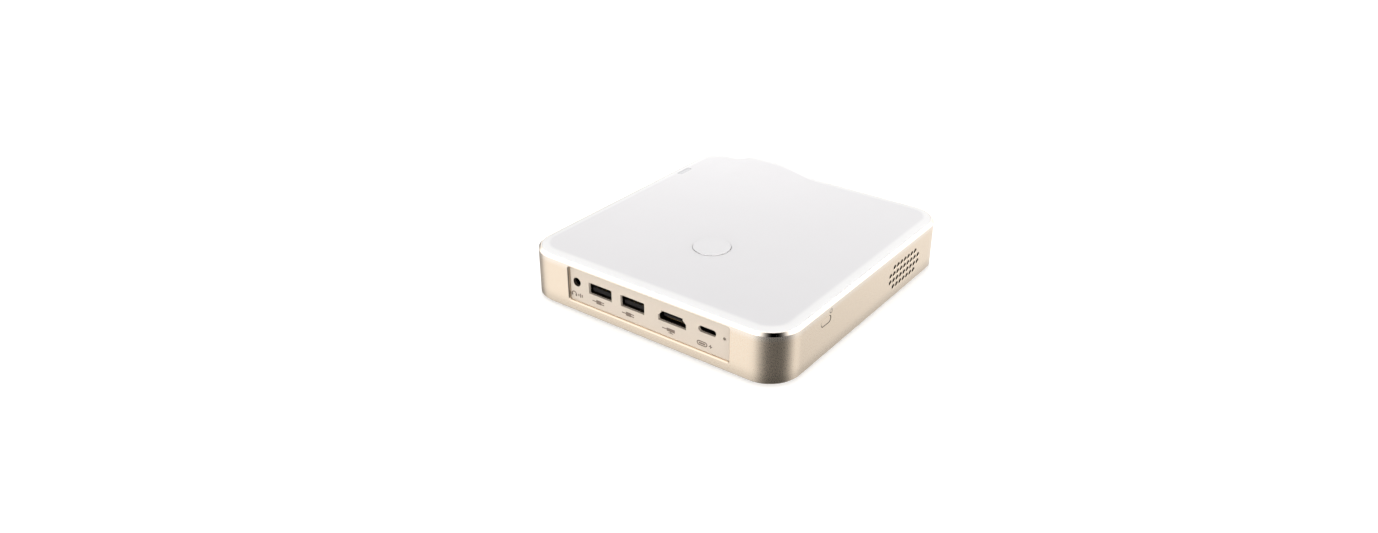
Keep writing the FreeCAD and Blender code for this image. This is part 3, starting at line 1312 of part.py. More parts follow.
# ------------------------------------------------------------------ all pieces
PIECES = [
    top_cover, light_disc, sensor_window, side_band, port_plate, bottom_cover, rubber_feet, case_screws,
    power_button_cap, power_switch_board, power_switch_body, power_switch_plunger, power_switch_cable,
    reset_switch_body, reset_plunger,
    usb_port_shells, usb_port_tongues, usb_port_contacts, video_port_shell, video_port_tongue,
    type_c_port_shell, type_c_port_tongue, audio_jack_body, audio_jack_collar,
    mainboard, board_standoffs, board_screws, processor, thermal_pad, cold_plate, heat_pipe, fin_stack,
    cooler_screws, cooler_springs, memory_chips, controller_chips, power_inductors, capacitors,
    infrared_sensor, battery_holder, clock_battery, ssd_module, ssd_socket, wifi_module, wifi_socket,
    module_standoffs, module_screws, wifi_antennas, antenna_cables, light_board,
    fan_housing, fan_cover, fan_impeller, fan_shaft, fan_magnet, fan_bearing, fan_stator, fan_coils,
    fan_cable, fan_screws,
]

os.makedirs("parts", exist_ok=True)
for piece in PIECES:
    piece().exportStep("parts/" + piece.__name__ + ".step")
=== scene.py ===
import json
import math

import bmesh
import bpy
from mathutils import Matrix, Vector


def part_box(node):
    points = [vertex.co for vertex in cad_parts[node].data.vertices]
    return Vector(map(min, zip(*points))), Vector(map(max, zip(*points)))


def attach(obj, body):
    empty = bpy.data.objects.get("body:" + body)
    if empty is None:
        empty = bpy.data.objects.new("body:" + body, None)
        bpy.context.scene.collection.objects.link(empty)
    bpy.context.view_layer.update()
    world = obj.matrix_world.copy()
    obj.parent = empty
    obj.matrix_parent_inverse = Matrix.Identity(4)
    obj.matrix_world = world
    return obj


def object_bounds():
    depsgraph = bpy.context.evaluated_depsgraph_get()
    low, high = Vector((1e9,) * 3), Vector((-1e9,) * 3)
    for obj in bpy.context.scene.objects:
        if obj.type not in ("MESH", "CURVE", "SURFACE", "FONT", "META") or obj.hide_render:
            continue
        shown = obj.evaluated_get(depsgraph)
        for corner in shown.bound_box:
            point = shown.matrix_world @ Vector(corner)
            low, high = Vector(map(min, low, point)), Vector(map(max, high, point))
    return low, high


# A small square desktop computer: champagne metal band, white cover, port panel in front.
# The CAD nodes keep their shape and get their materials here.  The pieces added are the fine
# details inside the ports and the printed marks under them.  Lengths are metres.

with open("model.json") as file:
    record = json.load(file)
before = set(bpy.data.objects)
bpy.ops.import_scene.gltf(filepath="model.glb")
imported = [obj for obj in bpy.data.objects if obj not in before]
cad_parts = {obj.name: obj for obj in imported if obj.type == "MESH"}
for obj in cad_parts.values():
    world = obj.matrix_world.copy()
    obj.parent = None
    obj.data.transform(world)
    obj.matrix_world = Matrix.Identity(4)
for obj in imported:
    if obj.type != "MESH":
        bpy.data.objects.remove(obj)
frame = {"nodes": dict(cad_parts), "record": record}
cad_low, cad_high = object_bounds()

MM = 0.001

# ------------------------------------------------------------------ driving values
CAMERA_AZIMUTH = 36.84          # degrees, from straight in front towards the right side
CAMERA_ELEVATION = 27.94        # degrees above the floor
CAMERA_DISTANCE = 476 * MM
CAMERA_AIM = Vector((-10.5 * MM, -25.5 * MM, 12.5 * MM))
LENS_LENGTH = 27.74             # this and the next are in millimetres, as Blender wants them
SENSOR_WIDTH = 36.0

SKY_TOP = 0.86                  # brightness of the diffuse sky overhead
SKY_EDGE = 3.8                  # what it gains towards the horizon
SKY_FRONT = 0.9                 # how much more of that there is on the camera's side
FRONT_CARD_TURN = 15.7          # degrees from the camera to the dark card that the corner mirrors

BACK_LIGHT_PLACE = Vector((-170 * MM, 200 * MM, 150 * MM))
BACK_LIGHT_AIM = Vector((-40 * MM, 50 * MM, 25 * MM))
BACK_LIGHT_SIZE = 160 * MM
BACK_LIGHT_WATTS = 0.3

FLOOR_HALF = 3.0
FLOOR_DROP = 0.05 * MM          # how far the floor lies below the feet
FLOOR_GLOW = 0.22               # keeps the contact shadow pale

COVER_CORNER_R = 13.0 * MM      # in plan
COVER_HIGHLIGHT_ROLL = (4.5 * MM, 2.5 * MM)       # insets between which the cover turns to its pale rim, a painted highlight
BUTTON_LENGTH = 7.3 * MM        # of the visible cap
BUTTON_HEIGHT = 3.2 * MM
USB_SHELL_WIDTH = 13.1 * MM

MARK_HEIGHT = 9.0 * MM          # middle of the row of printed marks
MARK_THICK = 0.02 * MM
MARK_LINE = 0.5                 # line width; the marks are drawn in millimetres

# Stretches that lay the scratches of a metal along one axis
ALONG_X = (0.1, 1, 1)
ALONG_Y = (1, 0.1, 1)
ALONG_Z = (1, 1, 0.2)

# Colours that are used more than once
CHAMPAGNE = (0.87, 0.735, 0.585)
# painted shade: the colour given to the dark inside of holes and bores
PAINTED_HOLE_SHADE = (0.03, 0.022, 0.016)
EPOXY_BLACK = (0.022, 0.022, 0.024)


# ------------------------------------------------------------------ node tools
class Nodes:
    """Short calls for building one node tree."""

    def __init__(self, tree):
        self.tree = tree

    def add(self, kind, **settings):
        """Add a node and set its properties."""
        node = self.tree.nodes.new(kind)
        for key, value in settings.items():
            setattr(node, key, value)
        return node

    def join(self, source, target):
        """Put a value or another node's output into a socket."""
        if isinstance(source, bpy.types.NodeSocket):
            self.tree.links.new(source, target)
        else:
            target.default_value = source

    def axes(self, vector):
        """The X, Y and Z parts of a vector."""
        parts = self.add("ShaderNodeSeparateXYZ")
        self.join(vector, parts.inputs[0])
        return parts.outputs["X"], parts.outputs["Y"], parts.outputs["Z"]

    def calc(self, operation, first, second=0.0, third=0.0):
        """Result of a math node."""
        node = self.add("ShaderNodeMath", operation=operation)
        for source, target in zip((first, second, third), node.inputs):
            self.join(source, target)
        return node.outputs[0]

    def product(self, *factors):
        """All the factors multiplied."""
        result = factors[0]
        for factor in factors[1:]:
            result = self.calc("MULTIPLY", result, factor)
        return result

    def hypot(self, first, second):
        """Length of the vector with these two parts."""
        return self.calc("SQRT", self.calc("MULTIPLY_ADD", first, first, self.product(second, second)))

    def step(self, value, low, high, start=0.0, end=1.0):
        """Smooth change from start to end while the value runs from low to high."""
        node = self.add("ShaderNodeMapRange", interpolation_type="SMOOTHSTEP")
        self.join(value, node.inputs["Value"])
        for name, number in (("From Min", low), ("From Max", high), ("To Min", start), ("To Max", end)):
            node.inputs[name].default_value = number
        return node.outputs["Result"]


class Shader(Nodes):
    """A material with a Principled surface, and the textures used below."""

    def __init__(self, name):
        self.material = bpy.data.materials.new(name)
        self.material.use_nodes = True
        super().__init__(self.material.node_tree)
        self.surface = self.tree.nodes["Principled BSDF"]
        self.place = self.add("ShaderNodeTexCoord").outputs["Object"]
        self.facing = self.add("ShaderNodeNewGeometry").outputs["Normal"]

    def put(self, **values):
        """Set inputs of the Principled surface; underscores stand for spaces."""
        for key, value in values.items():
            self.join(value, self.surface.inputs[key.replace("_", " ")])

    def base_colour(self):
        """The colour that is already joined to the surface."""
        return self.surface.inputs["Base Color"].links[0].from_socket

    def noise(self, per_metre, detail=2.0, stretch=(1, 1, 1)):
        """Soft noise from 0 to 1, with per_metre features along each axis."""
        mapping = self.add("ShaderNodeMapping")
        mapping.inputs["Scale"].default_value = [per_metre * s for s in stretch]
        self.join(self.place, mapping.inputs["Vector"])
        noise = self.add("ShaderNodeTexNoise")
        noise.inputs["Scale"].default_value = 1.0
        noise.inputs["Detail"].default_value = detail
        self.join(mapping.outputs[0], noise.inputs["Vector"])
        return noise.outputs["Fac"]

    def scale(self, value, low, high):
        """Stretch a 0 to 1 value so that it runs from low to high."""
        return self.calc("MULTIPLY_ADD", value, high - low, low)

    def blend(self, share, first, second):
        """Colour that is first where share is 0 and second where it is 1."""
        mix = self.add("ShaderNodeMix", data_type="RGBA")
        self.join(share, mix.inputs["Factor"])
        ends = [socket for socket in mix.inputs if socket.type == "RGBA"]
        for colour, end in zip((first, second), ends):
            self.join((*colour, 1.0) if isinstance(colour, tuple) else colour, end)
        return next(socket for socket in mix.outputs if socket.type == "RGBA")

    def darker(self, colour, factor):
        """Another node's colour times a factor."""
        scaled = self.add("ShaderNodeVectorMath", operation="SCALE")
        self.join(colour, scaled.inputs[0])
        scaled.inputs["Scale"].default_value = factor
        return scaled.outputs[0]

    def relief(self, height, depth):
        """Bump normal from a 0 to 1 height that is depth metres deep."""
        bump = self.add("ShaderNodeBump")
        bump.inputs["Strength"].default_value = 1.0
        bump.inputs["Distance"].default_value = depth
        self.join(height, bump.inputs["Height"])
        return bump.outputs["Normal"]


def shade(colour, factor):
    """A plain colour made lighter or darker."""
    return tuple(min(1.0, c * factor) for c in colour)


def middle_of(node):
    """Middle of a CAD node's box."""
    low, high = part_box(node)
    return (low + high) / 2


# ------------------------------------------------------------------ families of material
def moulded(name, colour, roughness, grain=2600, grain_depth=0.006 * MM, variation=0.02):
    """Injection-moulded plastic: fine spark-eroded grain over a faint cloudiness."""
    s = Shader(name)
    cloud = s.noise(45, 3)
    grain_height = s.noise(grain, 3)
    s.put(Base_Color=s.blend(cloud, shade(colour, 1 - variation), shade(colour, 1 + variation)),
          Roughness=s.scale(grain_height, roughness - 0.05, roughness + 0.05),
          Normal=s.relief(grain_height, grain_depth))
    return s


def metal(name, colour, roughness, brushed=(1, 1, 1), lines=4000, depth=0.003 * MM):
    """Bare metal with fine scratches; brushed stretches them along one axis."""
    s = Shader(name)
    lines_height = s.noise(lines, 4, brushed)
    stain = s.noise(120, 4)
    s.put(Base_Color=s.blend(stain, shade(colour, 0.92), shade(colour, 1.05)), Metallic=1.0,
          Roughness=s.scale(lines_height, roughness - 0.08, roughness + 0.08),
          Normal=s.relief(lines_height, depth))
    return s


# ------------------------------------------------------------------ side band
def power_symbol(s):
    """Mask of an etched power symbol above and behind the button: an open ring, and a bar."""
    button = middle_of("power_button_cap")
    middle_y = button.y + 3.6 * MM
    middle_z = button.z + 3.3 * MM
    radius = 0.95 * MM
    half_line = 0.2 * MM
    half_gap = 0.45 * MM
    bar_middle = 0.7 * MM
    bar_half = 0.6 * MM

    x, y, z = s.axes(s.place)
    across = s.calc("SUBTRACT", y, middle_y)
    up = s.calc("SUBTRACT", z, middle_z)
    side = s.calc("ABSOLUTE", across)
    ring = s.calc("COMPARE", s.hypot(across, up), radius, half_line)
    in_gap = s.product(s.calc("LESS_THAN", side, half_gap), s.calc("GREATER_THAN", up, 0.0))
    open_ring = s.product(ring, s.calc("SUBTRACT", 1.0, in_gap))
    bar = s.product(s.calc("LESS_THAN", side, half_line), s.calc("COMPARE", up, bar_middle, bar_half))
    on_right_side = s.calc("GREATER_THAN", x, cad_high.x - 0.5 * MM)
    return s.product(s.calc("MAXIMUM", open_ring, bar), on_right_side)


def button_gap(s):
    """Mask of the walls round the power button, inside the gap and on the sides of the cap, which get
    painted shade.
    """
    button = middle_of("power_button_cap")
    radius = BUTTON_HEIGHT / 2
    reach = 0.5 * MM
    depth = 3.0 * MM

    x, y, z = s.axes(s.place)
    along = s.calc("ABSOLUTE", s.calc("SUBTRACT", y, button.y))
    beyond = s.calc("MAXIMUM", s.calc("SUBTRACT", along, BUTTON_LENGTH / 2 - radius), 0.0)
    distance = s.hypot(beyond, s.calc("SUBTRACT", z, button.z))
    near = s.calc("LESS_THAN", distance, radius + reach)
    sideways = s.calc("LESS_THAN", s.calc("ABSOLUTE", s.axes(s.facing)[0]), 0.8)
    outside = s.calc("GREATER_THAN", x, cad_high.x - depth)
    return s.product(sideways, near, outside)


def polished_edges(s):
    """Mask of the chamfers, found by their slope."""
    slope = s.calc("ABSOLUTE", s.axes(s.facing)[2])
    return s.product(s.step(slope, 0.35, 0.6), s.step(slope, 0.98, 0.9))


def open_to_light(s):
    """Mask that leaves out hollow corners, such as the recess has; faces that look up stay in. Outside it
    the band gets painted shade.
    """
    open_sky = s.add("ShaderNodeAmbientOcclusion", samples=12)
    open_sky.inputs["Distance"].default_value = 9 * MM
    return s.calc("MAXIMUM", s.step(open_sky.outputs["AO"], 0.55, 1.0),
                  s.step(s.axes(s.facing)[2], 0.7, 0.95))


def recess_sill(s, polished):
    """Mask of the chamfer along the lower edge of the port recess, whose reflection is dimmed with painted
    shade.
    """
    upward = s.step(s.axes(s.facing)[2], 0.0, 0.5)
    lower_half = s.step(s.axes(s.place)[2], 12 * MM, 10 * MM)
    return s.product(polished, upward, lower_half)


def band_colour(s, polished):
    """Champagne with painted shade low down, in corners, in the button gap and on the recess sill, and a
    painted highlight under the polished top edge.
    """
    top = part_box("side_band")[1].z
    height = s.axes(s.place)[2]
    painted_low_shade = s.step(height, 7.5 * MM, 2.5 * MM)
    painted_edge_highlight = s.product(s.step(height, top - 4.5 * MM, top - 1.2 * MM), 0.75)

    colour = s.blend(s.noise(30, 2), shade(CHAMPAGNE, 0.985), shade(CHAMPAGNE, 1.015))
    colour = s.blend(s.product(power_symbol(s), 0.95), colour, (0.12, 0.09, 0.065))
    # painted shade in hollow corners and the recess, from ambient occlusion
    colour = s.blend(open_to_light(s), s.darker(colour, 0.74), colour)
    # painted shade in the gap round the power button
    colour = s.blend(button_gap(s), colour, (0.04, 0.03, 0.022))
    # painted shade that dims the bright reflection on the recess sill
    colour = s.blend(recess_sill(s, polished), colour, s.darker(colour, 0.72))
    # painted shade towards the bottom of the band, near the floor
    colour = s.blend(painted_low_shade, colour, s.darker(colour, 0.93))
    # painted highlight: paler under the polished top edge
    return s.blend(painted_edge_highlight, colour, (0.96, 0.88, 0.79))


def anodised_band(name):
    """Champagne anodised aluminium: satin, blasted faces and polished chamfers."""
    s = Shader(name)
    polished = polished_edges(s)
    blast = s.noise(5200, 2)
    satin = s.scale(blast, 0.24, 0.32)
    s.put(Base_Color=band_colour(s, polished), Metallic=1.0,
          Roughness=s.calc("MULTIPLY_ADD", polished, -0.22, satin),
          Normal=s.relief(blast, 0.002 * MM))
    return s


# ------------------------------------------------------------------ cover, port plate and underside
def inset_from_rim(s):
    """Distance in from the outline of the cover, which is a rectangle with rounded corners."""
    low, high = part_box("top_cover")
    x, y = s.axes(s.place)[:2]
    beyond = []
    for value, first, last in ((x, low.x, high.x), (y, low.y, high.y)):
        from_middle = s.calc("ABSOLUTE", s.calc("SUBTRACT", value, (first + last) / 2))
        beyond.append(s.calc("SUBTRACT", from_middle, (last - first) / 2 - COVER_CORNER_R))
    outer = [s.calc("MAXIMUM", value, 0.0) for value in beyond]
    inner = s.calc("MINIMUM", s.calc("MAXIMUM", *beyond), 0.0)
    return s.calc("SUBTRACT", COVER_CORNER_R, s.calc("ADD", s.hypot(*outer), inner))


def white_cover(name):
    """Satin white plastic with a very fine grain, and a painted highlight that makes it paler where the rim
    rolls off.
    """
    s = moulded(name, (0.615, 0.603, 0.61), 0.36, grain=3200, grain_depth=0.003 * MM, variation=0.012)
    rim = s.step(inset_from_rim(s), *COVER_HIGHLIGHT_ROLL)
    # painted highlight along the rolled rim
    s.put(Base_Color=s.blend(rim, s.base_colour(), (0.70, 0.692, 0.688)), Specular_IOR_Level=0.35)
    return s


def light_lens(name):
    """Milky diffuser disc, greyer on its upright edge as painted shade."""
    s = moulded(name, (0.615, 0.605, 0.611), 0.30, grain=1800, grain_depth=0.002 * MM, variation=0.01)
    upright = s.step(s.axes(s.facing)[2], 0.75, 0.35)
    # painted shade on the upright edge
    s.put(Base_Color=s.blend(upright, s.base_colour(), (0.46, 0.45, 0.45)), Specular_IOR_Level=0.35)
    return s


def grey_window(name):
    """Glossy grey window that lets infrared light through."""
    s = moulded(name, (0.44, 0.44, 0.45), 0.12, grain=900, grain_depth=0.001 * MM, variation=0.03)
    s.put(Coat_Weight=0.4, Coat_Roughness=0.05)
    return s


def jack_hole_wall(s):
    """Mask of the wall of the hole in the port plate, in front of the headphone socket, where painted shade
    goes.
    """
    jack = middle_of("audio_jack_collar")
    x, _, z = s.axes(s.place)
    distance = s.hypot(s.calc("SUBTRACT", x, jack.x), s.calc("SUBTRACT", z, jack.z))
    sideways = s.step(s.calc("ABSOLUTE", s.axes(s.facing)[1]), 0.8, 0.4)
    return s.product(sideways, s.step(distance, 3.0 * MM, 2.6 * MM))


def coated_plate(name):
    """Port plate: pale champagne coating with a fine mineral grain, and painted shade on the wall of the
    headphone hole.
    """
    s = Shader(name)
    colour = (0.56, 0.485, 0.405)
    grain = s.noise(4200, 3)
    flake = s.noise(1500, 2)
    coating = s.blend(flake, shade(colour, 0.97), shade(colour, 1.03))
    # painted shade on the wall of the headphone hole
    s.put(Base_Color=s.blend(jack_hole_wall(s), coating, PAINTED_HOLE_SHADE), Metallic=0.35,
          Roughness=s.scale(grain, 0.42, 0.56), Normal=s.relief(grain, 0.004 * MM))
    return s


def base_plastic(name):
    """Underside: warm grey plastic with a coarser texture that hides scuffs."""
    return moulded(name, (0.52, 0.48, 0.43), 0.55, grain=1700, grain_depth=0.02 * MM, variation=0.03)


def foot_rubber(name):
    """Soft rubber: dull and unevenly dusty."""
    s = moulded(name, (0.05, 0.048, 0.046), 0.8, grain=2200, grain_depth=0.012 * MM, variation=0.25)
    s.put(Sheen_Weight=0.2)
    return s


# ------------------------------------------------------------------ materials of the inside
def circuit_board(name, parts_above=None, parts_colour=EPOXY_BLACK):
    """Solder mask over a maze of fine copper tracks; what stands above a height is another colour."""
    s = Shader(name)
    cells = s.add("ShaderNodeTexVoronoi", feature="DISTANCE_TO_EDGE", distance="MANHATTAN")
    cells.inputs["Scale"].default_value = 420
    s.join(s.place, cells.inputs["Vector"])
    tracks = s.step(cells.outputs["Distance"], 0.12, 0.06)
    colour = s.blend(tracks, (0.008, 0.05, 0.035), (0.02, 0.12, 0.075))
    if parts_above is not None:
        colour = s.blend(s.calc("GREATER_THAN", s.axes(s.place)[2], parts_above), colour, parts_colour)
    s.put(Base_Color=colour, Coat_Weight=0.3,
          Roughness=s.scale(tracks, 0.42, 0.3), Normal=s.relief(tracks, 0.02 * MM))
    return s


def chip_black(name):
    """Moulded epoxy package with a fine matt grain."""
    return moulded(name, EPOXY_BLACK, 0.55, grain=5200, grain_depth=0.006 * MM, variation=0.15)


def black_plastic(name):
    """Connector and fan plastic."""
    s = moulded(name, (0.008, 0.007, 0.007), 0.5, grain=3000, grain_depth=0.004 * MM, variation=0.2)
    s.put(Specular_IOR_Level=0.2)
    return s


def pressed_powder(name, colour):
    """Pressed ferrite or bonded magnet: speckled and dull."""
    return moulded(name, colour, 0.7, grain=3600, grain_depth=0.015 * MM, variation=0.25)


def soft_pad(name):
    """Grey-blue silicone pad."""
    return moulded(name, (0.32, 0.38, 0.46), 0.75, grain=1400, grain_depth=0.02 * MM, variation=0.06)


def cable_jacket(name):
    """Extruded black jacket."""
    return moulded(name, (0.02, 0.02, 0.021), 0.5, grain=1900, grain_depth=0.006 * MM, variation=0.2)


def flexible_film(name):
    """Amber film over copper tracks."""
    s = Shader(name)
    waves = s.add("ShaderNodeTexWave", bands_direction="DIAGONAL")
    waves.inputs["Scale"].default_value = 700
    s.join(s.place, waves.inputs["Vector"])
    tracks = s.step(waves.outputs["Fac"], 0.45, 0.55)
    s.put(Base_Color=s.blend(tracks, (0.30, 0.11, 0.015), (0.48, 0.22, 0.05)), Roughness=0.25,
          Coat_Weight=0.6, Normal=s.relief(tracks, 0.01 * MM))
    return s


def wound_copper(name):
    """Copper, with fine turns that read as windings or as drawn metal."""
    return metal(name, (0.80, 0.42, 0.27), 0.30, brushed=(1, 1, 6), lines=1500)


def sintered_bronze(name):
    """Porous bearing metal, coarser than the drawn and rolled metals."""
    return metal(name, (0.48, 0.34, 0.20), 0.45, lines=2200, depth=0.01 * MM)


def jack_collar(name):
    """Turned collar of the headphone socket: a bright face, and a bore that lies in the dark, coloured with
    painted shade.
    """
    s = metal(name, (0.42, 0.36, 0.30), 0.25, ALONG_Y)
    in_front = s.step(s.calc("ABSOLUTE", s.axes(s.facing)[1]), 0.5, 0.9)
    # painted shade in the bore
    s.put(Base_Color=s.blend(in_front, PAINTED_HOLE_SHADE, s.base_colour()))
    return s


# ------------------------------------------------------------------ which node gets which material
def slot_materials():
    """One material for each slot of the record."""
    return {
        "white_cover": white_cover("white_cover"),
        "light_lens": light_lens("light_lens"),
        "grey_window": grey_window("grey_window"),
        "champagne_band": anodised_band("champagne_band"),
        "port_plate": coated_plate("port_plate"),
        "base_plastic": base_plastic("base_plastic"),
        "foot_rubber": foot_rubber("foot_rubber"),
        "screw_steel": metal("screw_steel", (0.56, 0.55, 0.54), 0.30, ALONG_Z),
        # dark plated steel, darkened further as painted shade for the inside of the ports
        "port_steel": metal("port_steel", (0.058, 0.045, 0.034), 0.38, ALONG_Y),
        "sheet_steel": metal("sheet_steel", (0.50, 0.50, 0.51), 0.38, ALONG_X),
        "spring_steel": metal("spring_steel", (0.58, 0.58, 0.60), 0.25),
        "black_plastic": black_plastic("black_plastic"),
        "chip_black": chip_black("chip_black"),
        "circuit_board": circuit_board("circuit_board"),
        "gold_contact": metal("gold_contact", (0.62, 0.45, 0.19), 0.25, ALONG_Y),
        "brass": metal("brass", (0.72, 0.55, 0.25), 0.25, ALONG_Z),
        "copper": wound_copper("copper"),
        "fin_aluminium": metal("fin_aluminium", (0.62, 0.62, 0.63), 0.35, ALONG_X),
        "can_aluminium": metal("can_aluminium", (0.74, 0.74, 0.75), 0.22, ALONG_Z),
        "thermal_pad": soft_pad("thermal_pad"),
        "inductor_grey": pressed_powder("inductor_grey", (0.10, 0.10, 0.105)),
        "magnet_black": pressed_powder("magnet_black", (0.03, 0.03, 0.032)),
        "cable_black": cable_jacket("cable_black"),
        "flex_amber": flexible_film("flex_amber"),
        "sintered_bronze": sintered_bronze("sintered_bronze"),
    }


def special_materials():
    """Materials of single nodes that differ from the rest of their slot."""
    above_card = 0.85 * MM          # from the underside of a board to just over its upper face
    above_lamp_board = 1.05 * MM
    diode_yellow = (0.75, 0.68, 0.42)

    def underside(node):
        """Height of a node's lowest point."""
        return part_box(node)[0].z

    return {
        "audio_jack_collar": jack_collar("bright_collar"),
        "ssd_module": circuit_board("ssd_board", underside("ssd_module") + above_card),
        "wifi_module": circuit_board("wifi_board", underside("wifi_module") + above_card),
        "light_board": circuit_board("lamp_board", underside("light_board") + above_lamp_board,
                                     diode_yellow),
    }


def dress_cad_nodes(materials):
    """Give every CAD node its own material, or the material of its slot."""
    special = special_materials()
    for entry in frame["record"]["subparts"]:
        node = entry["node"]
        mesh = frame["nodes"][node].data
        mesh.materials.clear()
        mesh.materials.append(special.get(node, materials[entry["material_slot"]]).material)


# ------------------------------------------------------------------ mesh tools
def add_piece(name, shape, material):
    """Turn a bmesh into a piece that rides on the case."""
    bmesh.ops.recalc_face_normals(shape, faces=shape.faces)
    mesh = bpy.data.meshes.new(name)
    shape.to_mesh(mesh)
    shape.free()
    mesh.materials.append(material.material)
    piece = bpy.data.objects.new(name, mesh)
    bpy.context.scene.collection.objects.link(piece)
    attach(piece, "case")


def add_strip(shape, path, middle_x, width, thick):
    """Flat strip along a path of (y, z) points; thick is how far it grows to the path's side."""
    low_x = middle_x - width / 2
    high_x = middle_x + width / 2
    loops = []
    for index, (y, z) in enumerate(path):
        before = path[max(index - 1, 0)]
        after = path[min(index + 1, len(path) - 1)]
        along = Vector((after[0] - before[0], after[1] - before[1])).normalized()
        lift_y = -along.y * thick
        lift_z = along.x * thick
        corners = [(low_x, y, z), (high_x, y, z), (high_x, y + lift_y, z + lift_z),
                   (low_x, y + lift_y, z + lift_z)]
        loops.append([shape.verts.new(corner) for corner in corners])
    for first, second in zip(loops, loops[1:]):
        for corner in range(4):
            following = (corner + 1) % 4
            shape.faces.new((first[corner], first[following], second[following], second[corner]))
    shape.faces.new(reversed(loops[0]))
    shape.faces.new(loops[-1])


def arc_points(middle, radius, start, end, steps):
    """Points along an arc from one angle to another, in degrees."""
    points = []
    for step in range(steps + 1):
        angle = math.radians(start + (end - start) * step / steps)
        points.append((middle[0] + radius * math.cos(angle), middle[1] + radius * math.sin(angle)))
    return points


def pill_points(middle, width, height):
    """Closed outline of a pill."""
    radius = height / 2
    reach = width / 2 - radius
    right = arc_points((middle[0] + reach, middle[1]), radius, -90, 90, 10)
    left = arc_points((middle[0] - reach, middle[1]), radius, 90, 270, 10)
    return right + left


def box_points(middle, width, height):
    """Closed outline of a rectangle."""
    x, y = middle
    return [(x - width / 2, y - height / 2), (x + width / 2, y - height / 2),
            (x + width / 2, y + height / 2), (x - width / 2, y + height / 2)]


def stroke(points, width, closed=False):
    """Quads that draw a line of even width along the points."""
    count = len(points)
    mitre_limit = 0.4
    tiny = 1e-9
    sides = []
    for index, (x, y) in enumerate(points):
        before = points[index - 1] if closed or index > 0 else points[index]
        after = points[(index + 1) % count] if closed or index < count - 1 else points[index]
        into = Vector((x - before[0], y - before[1]))
        out = Vector((after[0] - x, after[1] - y))
        into = out if into.length < tiny else into
        out = into if out.length < tiny else out
        normals = [Vector((-v.y, v.x)).normalized() for v in (into, out)]
        mitre = (normals[0] + normals[1]).normalized()
        mitre *= width / 2 / max(mitre.dot(normals[0]), mitre_limit)
        sides.append(((x + mitre.x, y + mitre.y), (x - mitre.x, y - mitre.y)))
    pairs = list(zip(sides, sides[1:]))
    if closed:
        pairs.append((sides[-1], sides[0]))
    return [(a[0], a[1], b[1], b[0]) for a, b in pairs]


def thicken(shape, lift):
    """Make a flat mesh solid: a lifted copy of its faces, and walls along its open edges."""
    faces = list(shape.faces)
    rims = [edge for edge in shape.edges if len(edge.link_faces) == 1]
    lifted = {corner: shape.verts.new(corner.co + lift) for corner in list(shape.verts)}
    for face in faces:
        shape.faces.new([lifted[corner] for corner in reversed(face.verts)])
    for edge in rims:
        first, second = edge.verts
        shape.faces.new((first, second, lifted[second], lifted[first]))


# ------------------------------------------------------------------ printed marks
def headphone_mark():
    """Headphones beside three sound bars."""
    polygons = stroke(arc_points((-2.0, -0.3), 1.25, 190, -10, 20), MARK_LINE)
    for side in (-1, 1):
        polygons.append(box_points((-2.0 + side * 1.15, -0.6), 0.9, 1.0))
    for index, height in enumerate((1.0, 2.0, 1.4)):
        polygons.append(box_points((0.6 + 1.0 * index, -0.1), 0.6, height))
    return polygons


def plug_mark():
    """A two-pin plug with its lead."""
    lead = box_points((-2.3, 0), 2.2, MARK_LINE)
    body = box_points((0.2, 0), 2.8, 1.9)
    pins = [box_points((2.4, side * 0.5), 1.6, MARK_LINE) for side in (-1, 1)]
    return [lead, body] + pins


def screen_mark():
    """A screen on a stand, with its lead."""
    screen = box_points((1.0, 0.3), 4.2, 1.5)
    stem = box_points((1.0, -0.65), 0.6, 0.4)
    stand = box_points((1.0, -1.05), 2.4, 0.4)
    lead = box_points((-2.3, 0.3), 2.4, MARK_LINE)
    return [screen, stem, stand, lead]


def charge_mark():
    """A pill-shaped plug beside a lightning bolt."""
    plug = stroke(pill_points((-1.3, 0), 4.8, 1.8), MARK_LINE, closed=True)
    tongue = box_points((-1.3, 0), 3.2, 0.7)
    bolt = [[(3.1, 1.1), (1.9, -0.2), (3.0, -0.2)], [(3.9, 0.2), (2.7, -1.1), (2.8, 0.2)]]
    return plug + [tongue] + bolt


def add_mark(name, polygons, centre, material):
    """Thin raised print on the port plate: polygons in millimetres round a centre."""
    shape = bmesh.new()
    for polygon in polygons:
        corners = [shape.verts.new((centre.x + x * MM, centre.y, centre.z + y * MM)) for x, y in polygon]
        shape.faces.new(corners)
    bmesh.ops.remove_doubles(shape, verts=shape.verts, dist=0.002 * MM)
    thicken(shape, Vector((0, -MARK_THICK, 0)))
    add_piece(name, shape, material)


def add_printed_marks(material):
    """One mark under each port, shifted sideways from its middle by some millimetres."""
    plate_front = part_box("port_plate")[0].y
    left_usb, right_usb = usb_mouths()
    marks = [
        ("mark_headphones", headphone_mark(), middle_of("audio_jack_collar").x, 0.0),
        ("mark_plug_left", plug_mark(), left_usb.x, -1.2),
        ("mark_plug_right", plug_mark(), right_usb.x, -2.4),
        ("mark_screen", screen_mark(), middle_of("video_port_shell").x, -1.6),
        ("mark_charge", charge_mark(), middle_of("type_c_port_shell").x, -1.2),
    ]
    for name, polygons, port_x, shift in marks:
        add_mark(name, polygons, Vector((port_x + shift * MM, plate_front, MARK_HEIGHT)), material)


# ------------------------------------------------------------------ details inside the ports
def usb_mouths():
    """Middle of each USB opening, at its mouth."""
    low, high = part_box("usb_port_shells")
    z = (low.z + high.z) / 2
    return [Vector((low.x + USB_SHELL_WIDTH / 2, low.y, z)),
            Vector((high.x - USB_SHELL_WIDTH / 2, low.y, z))]


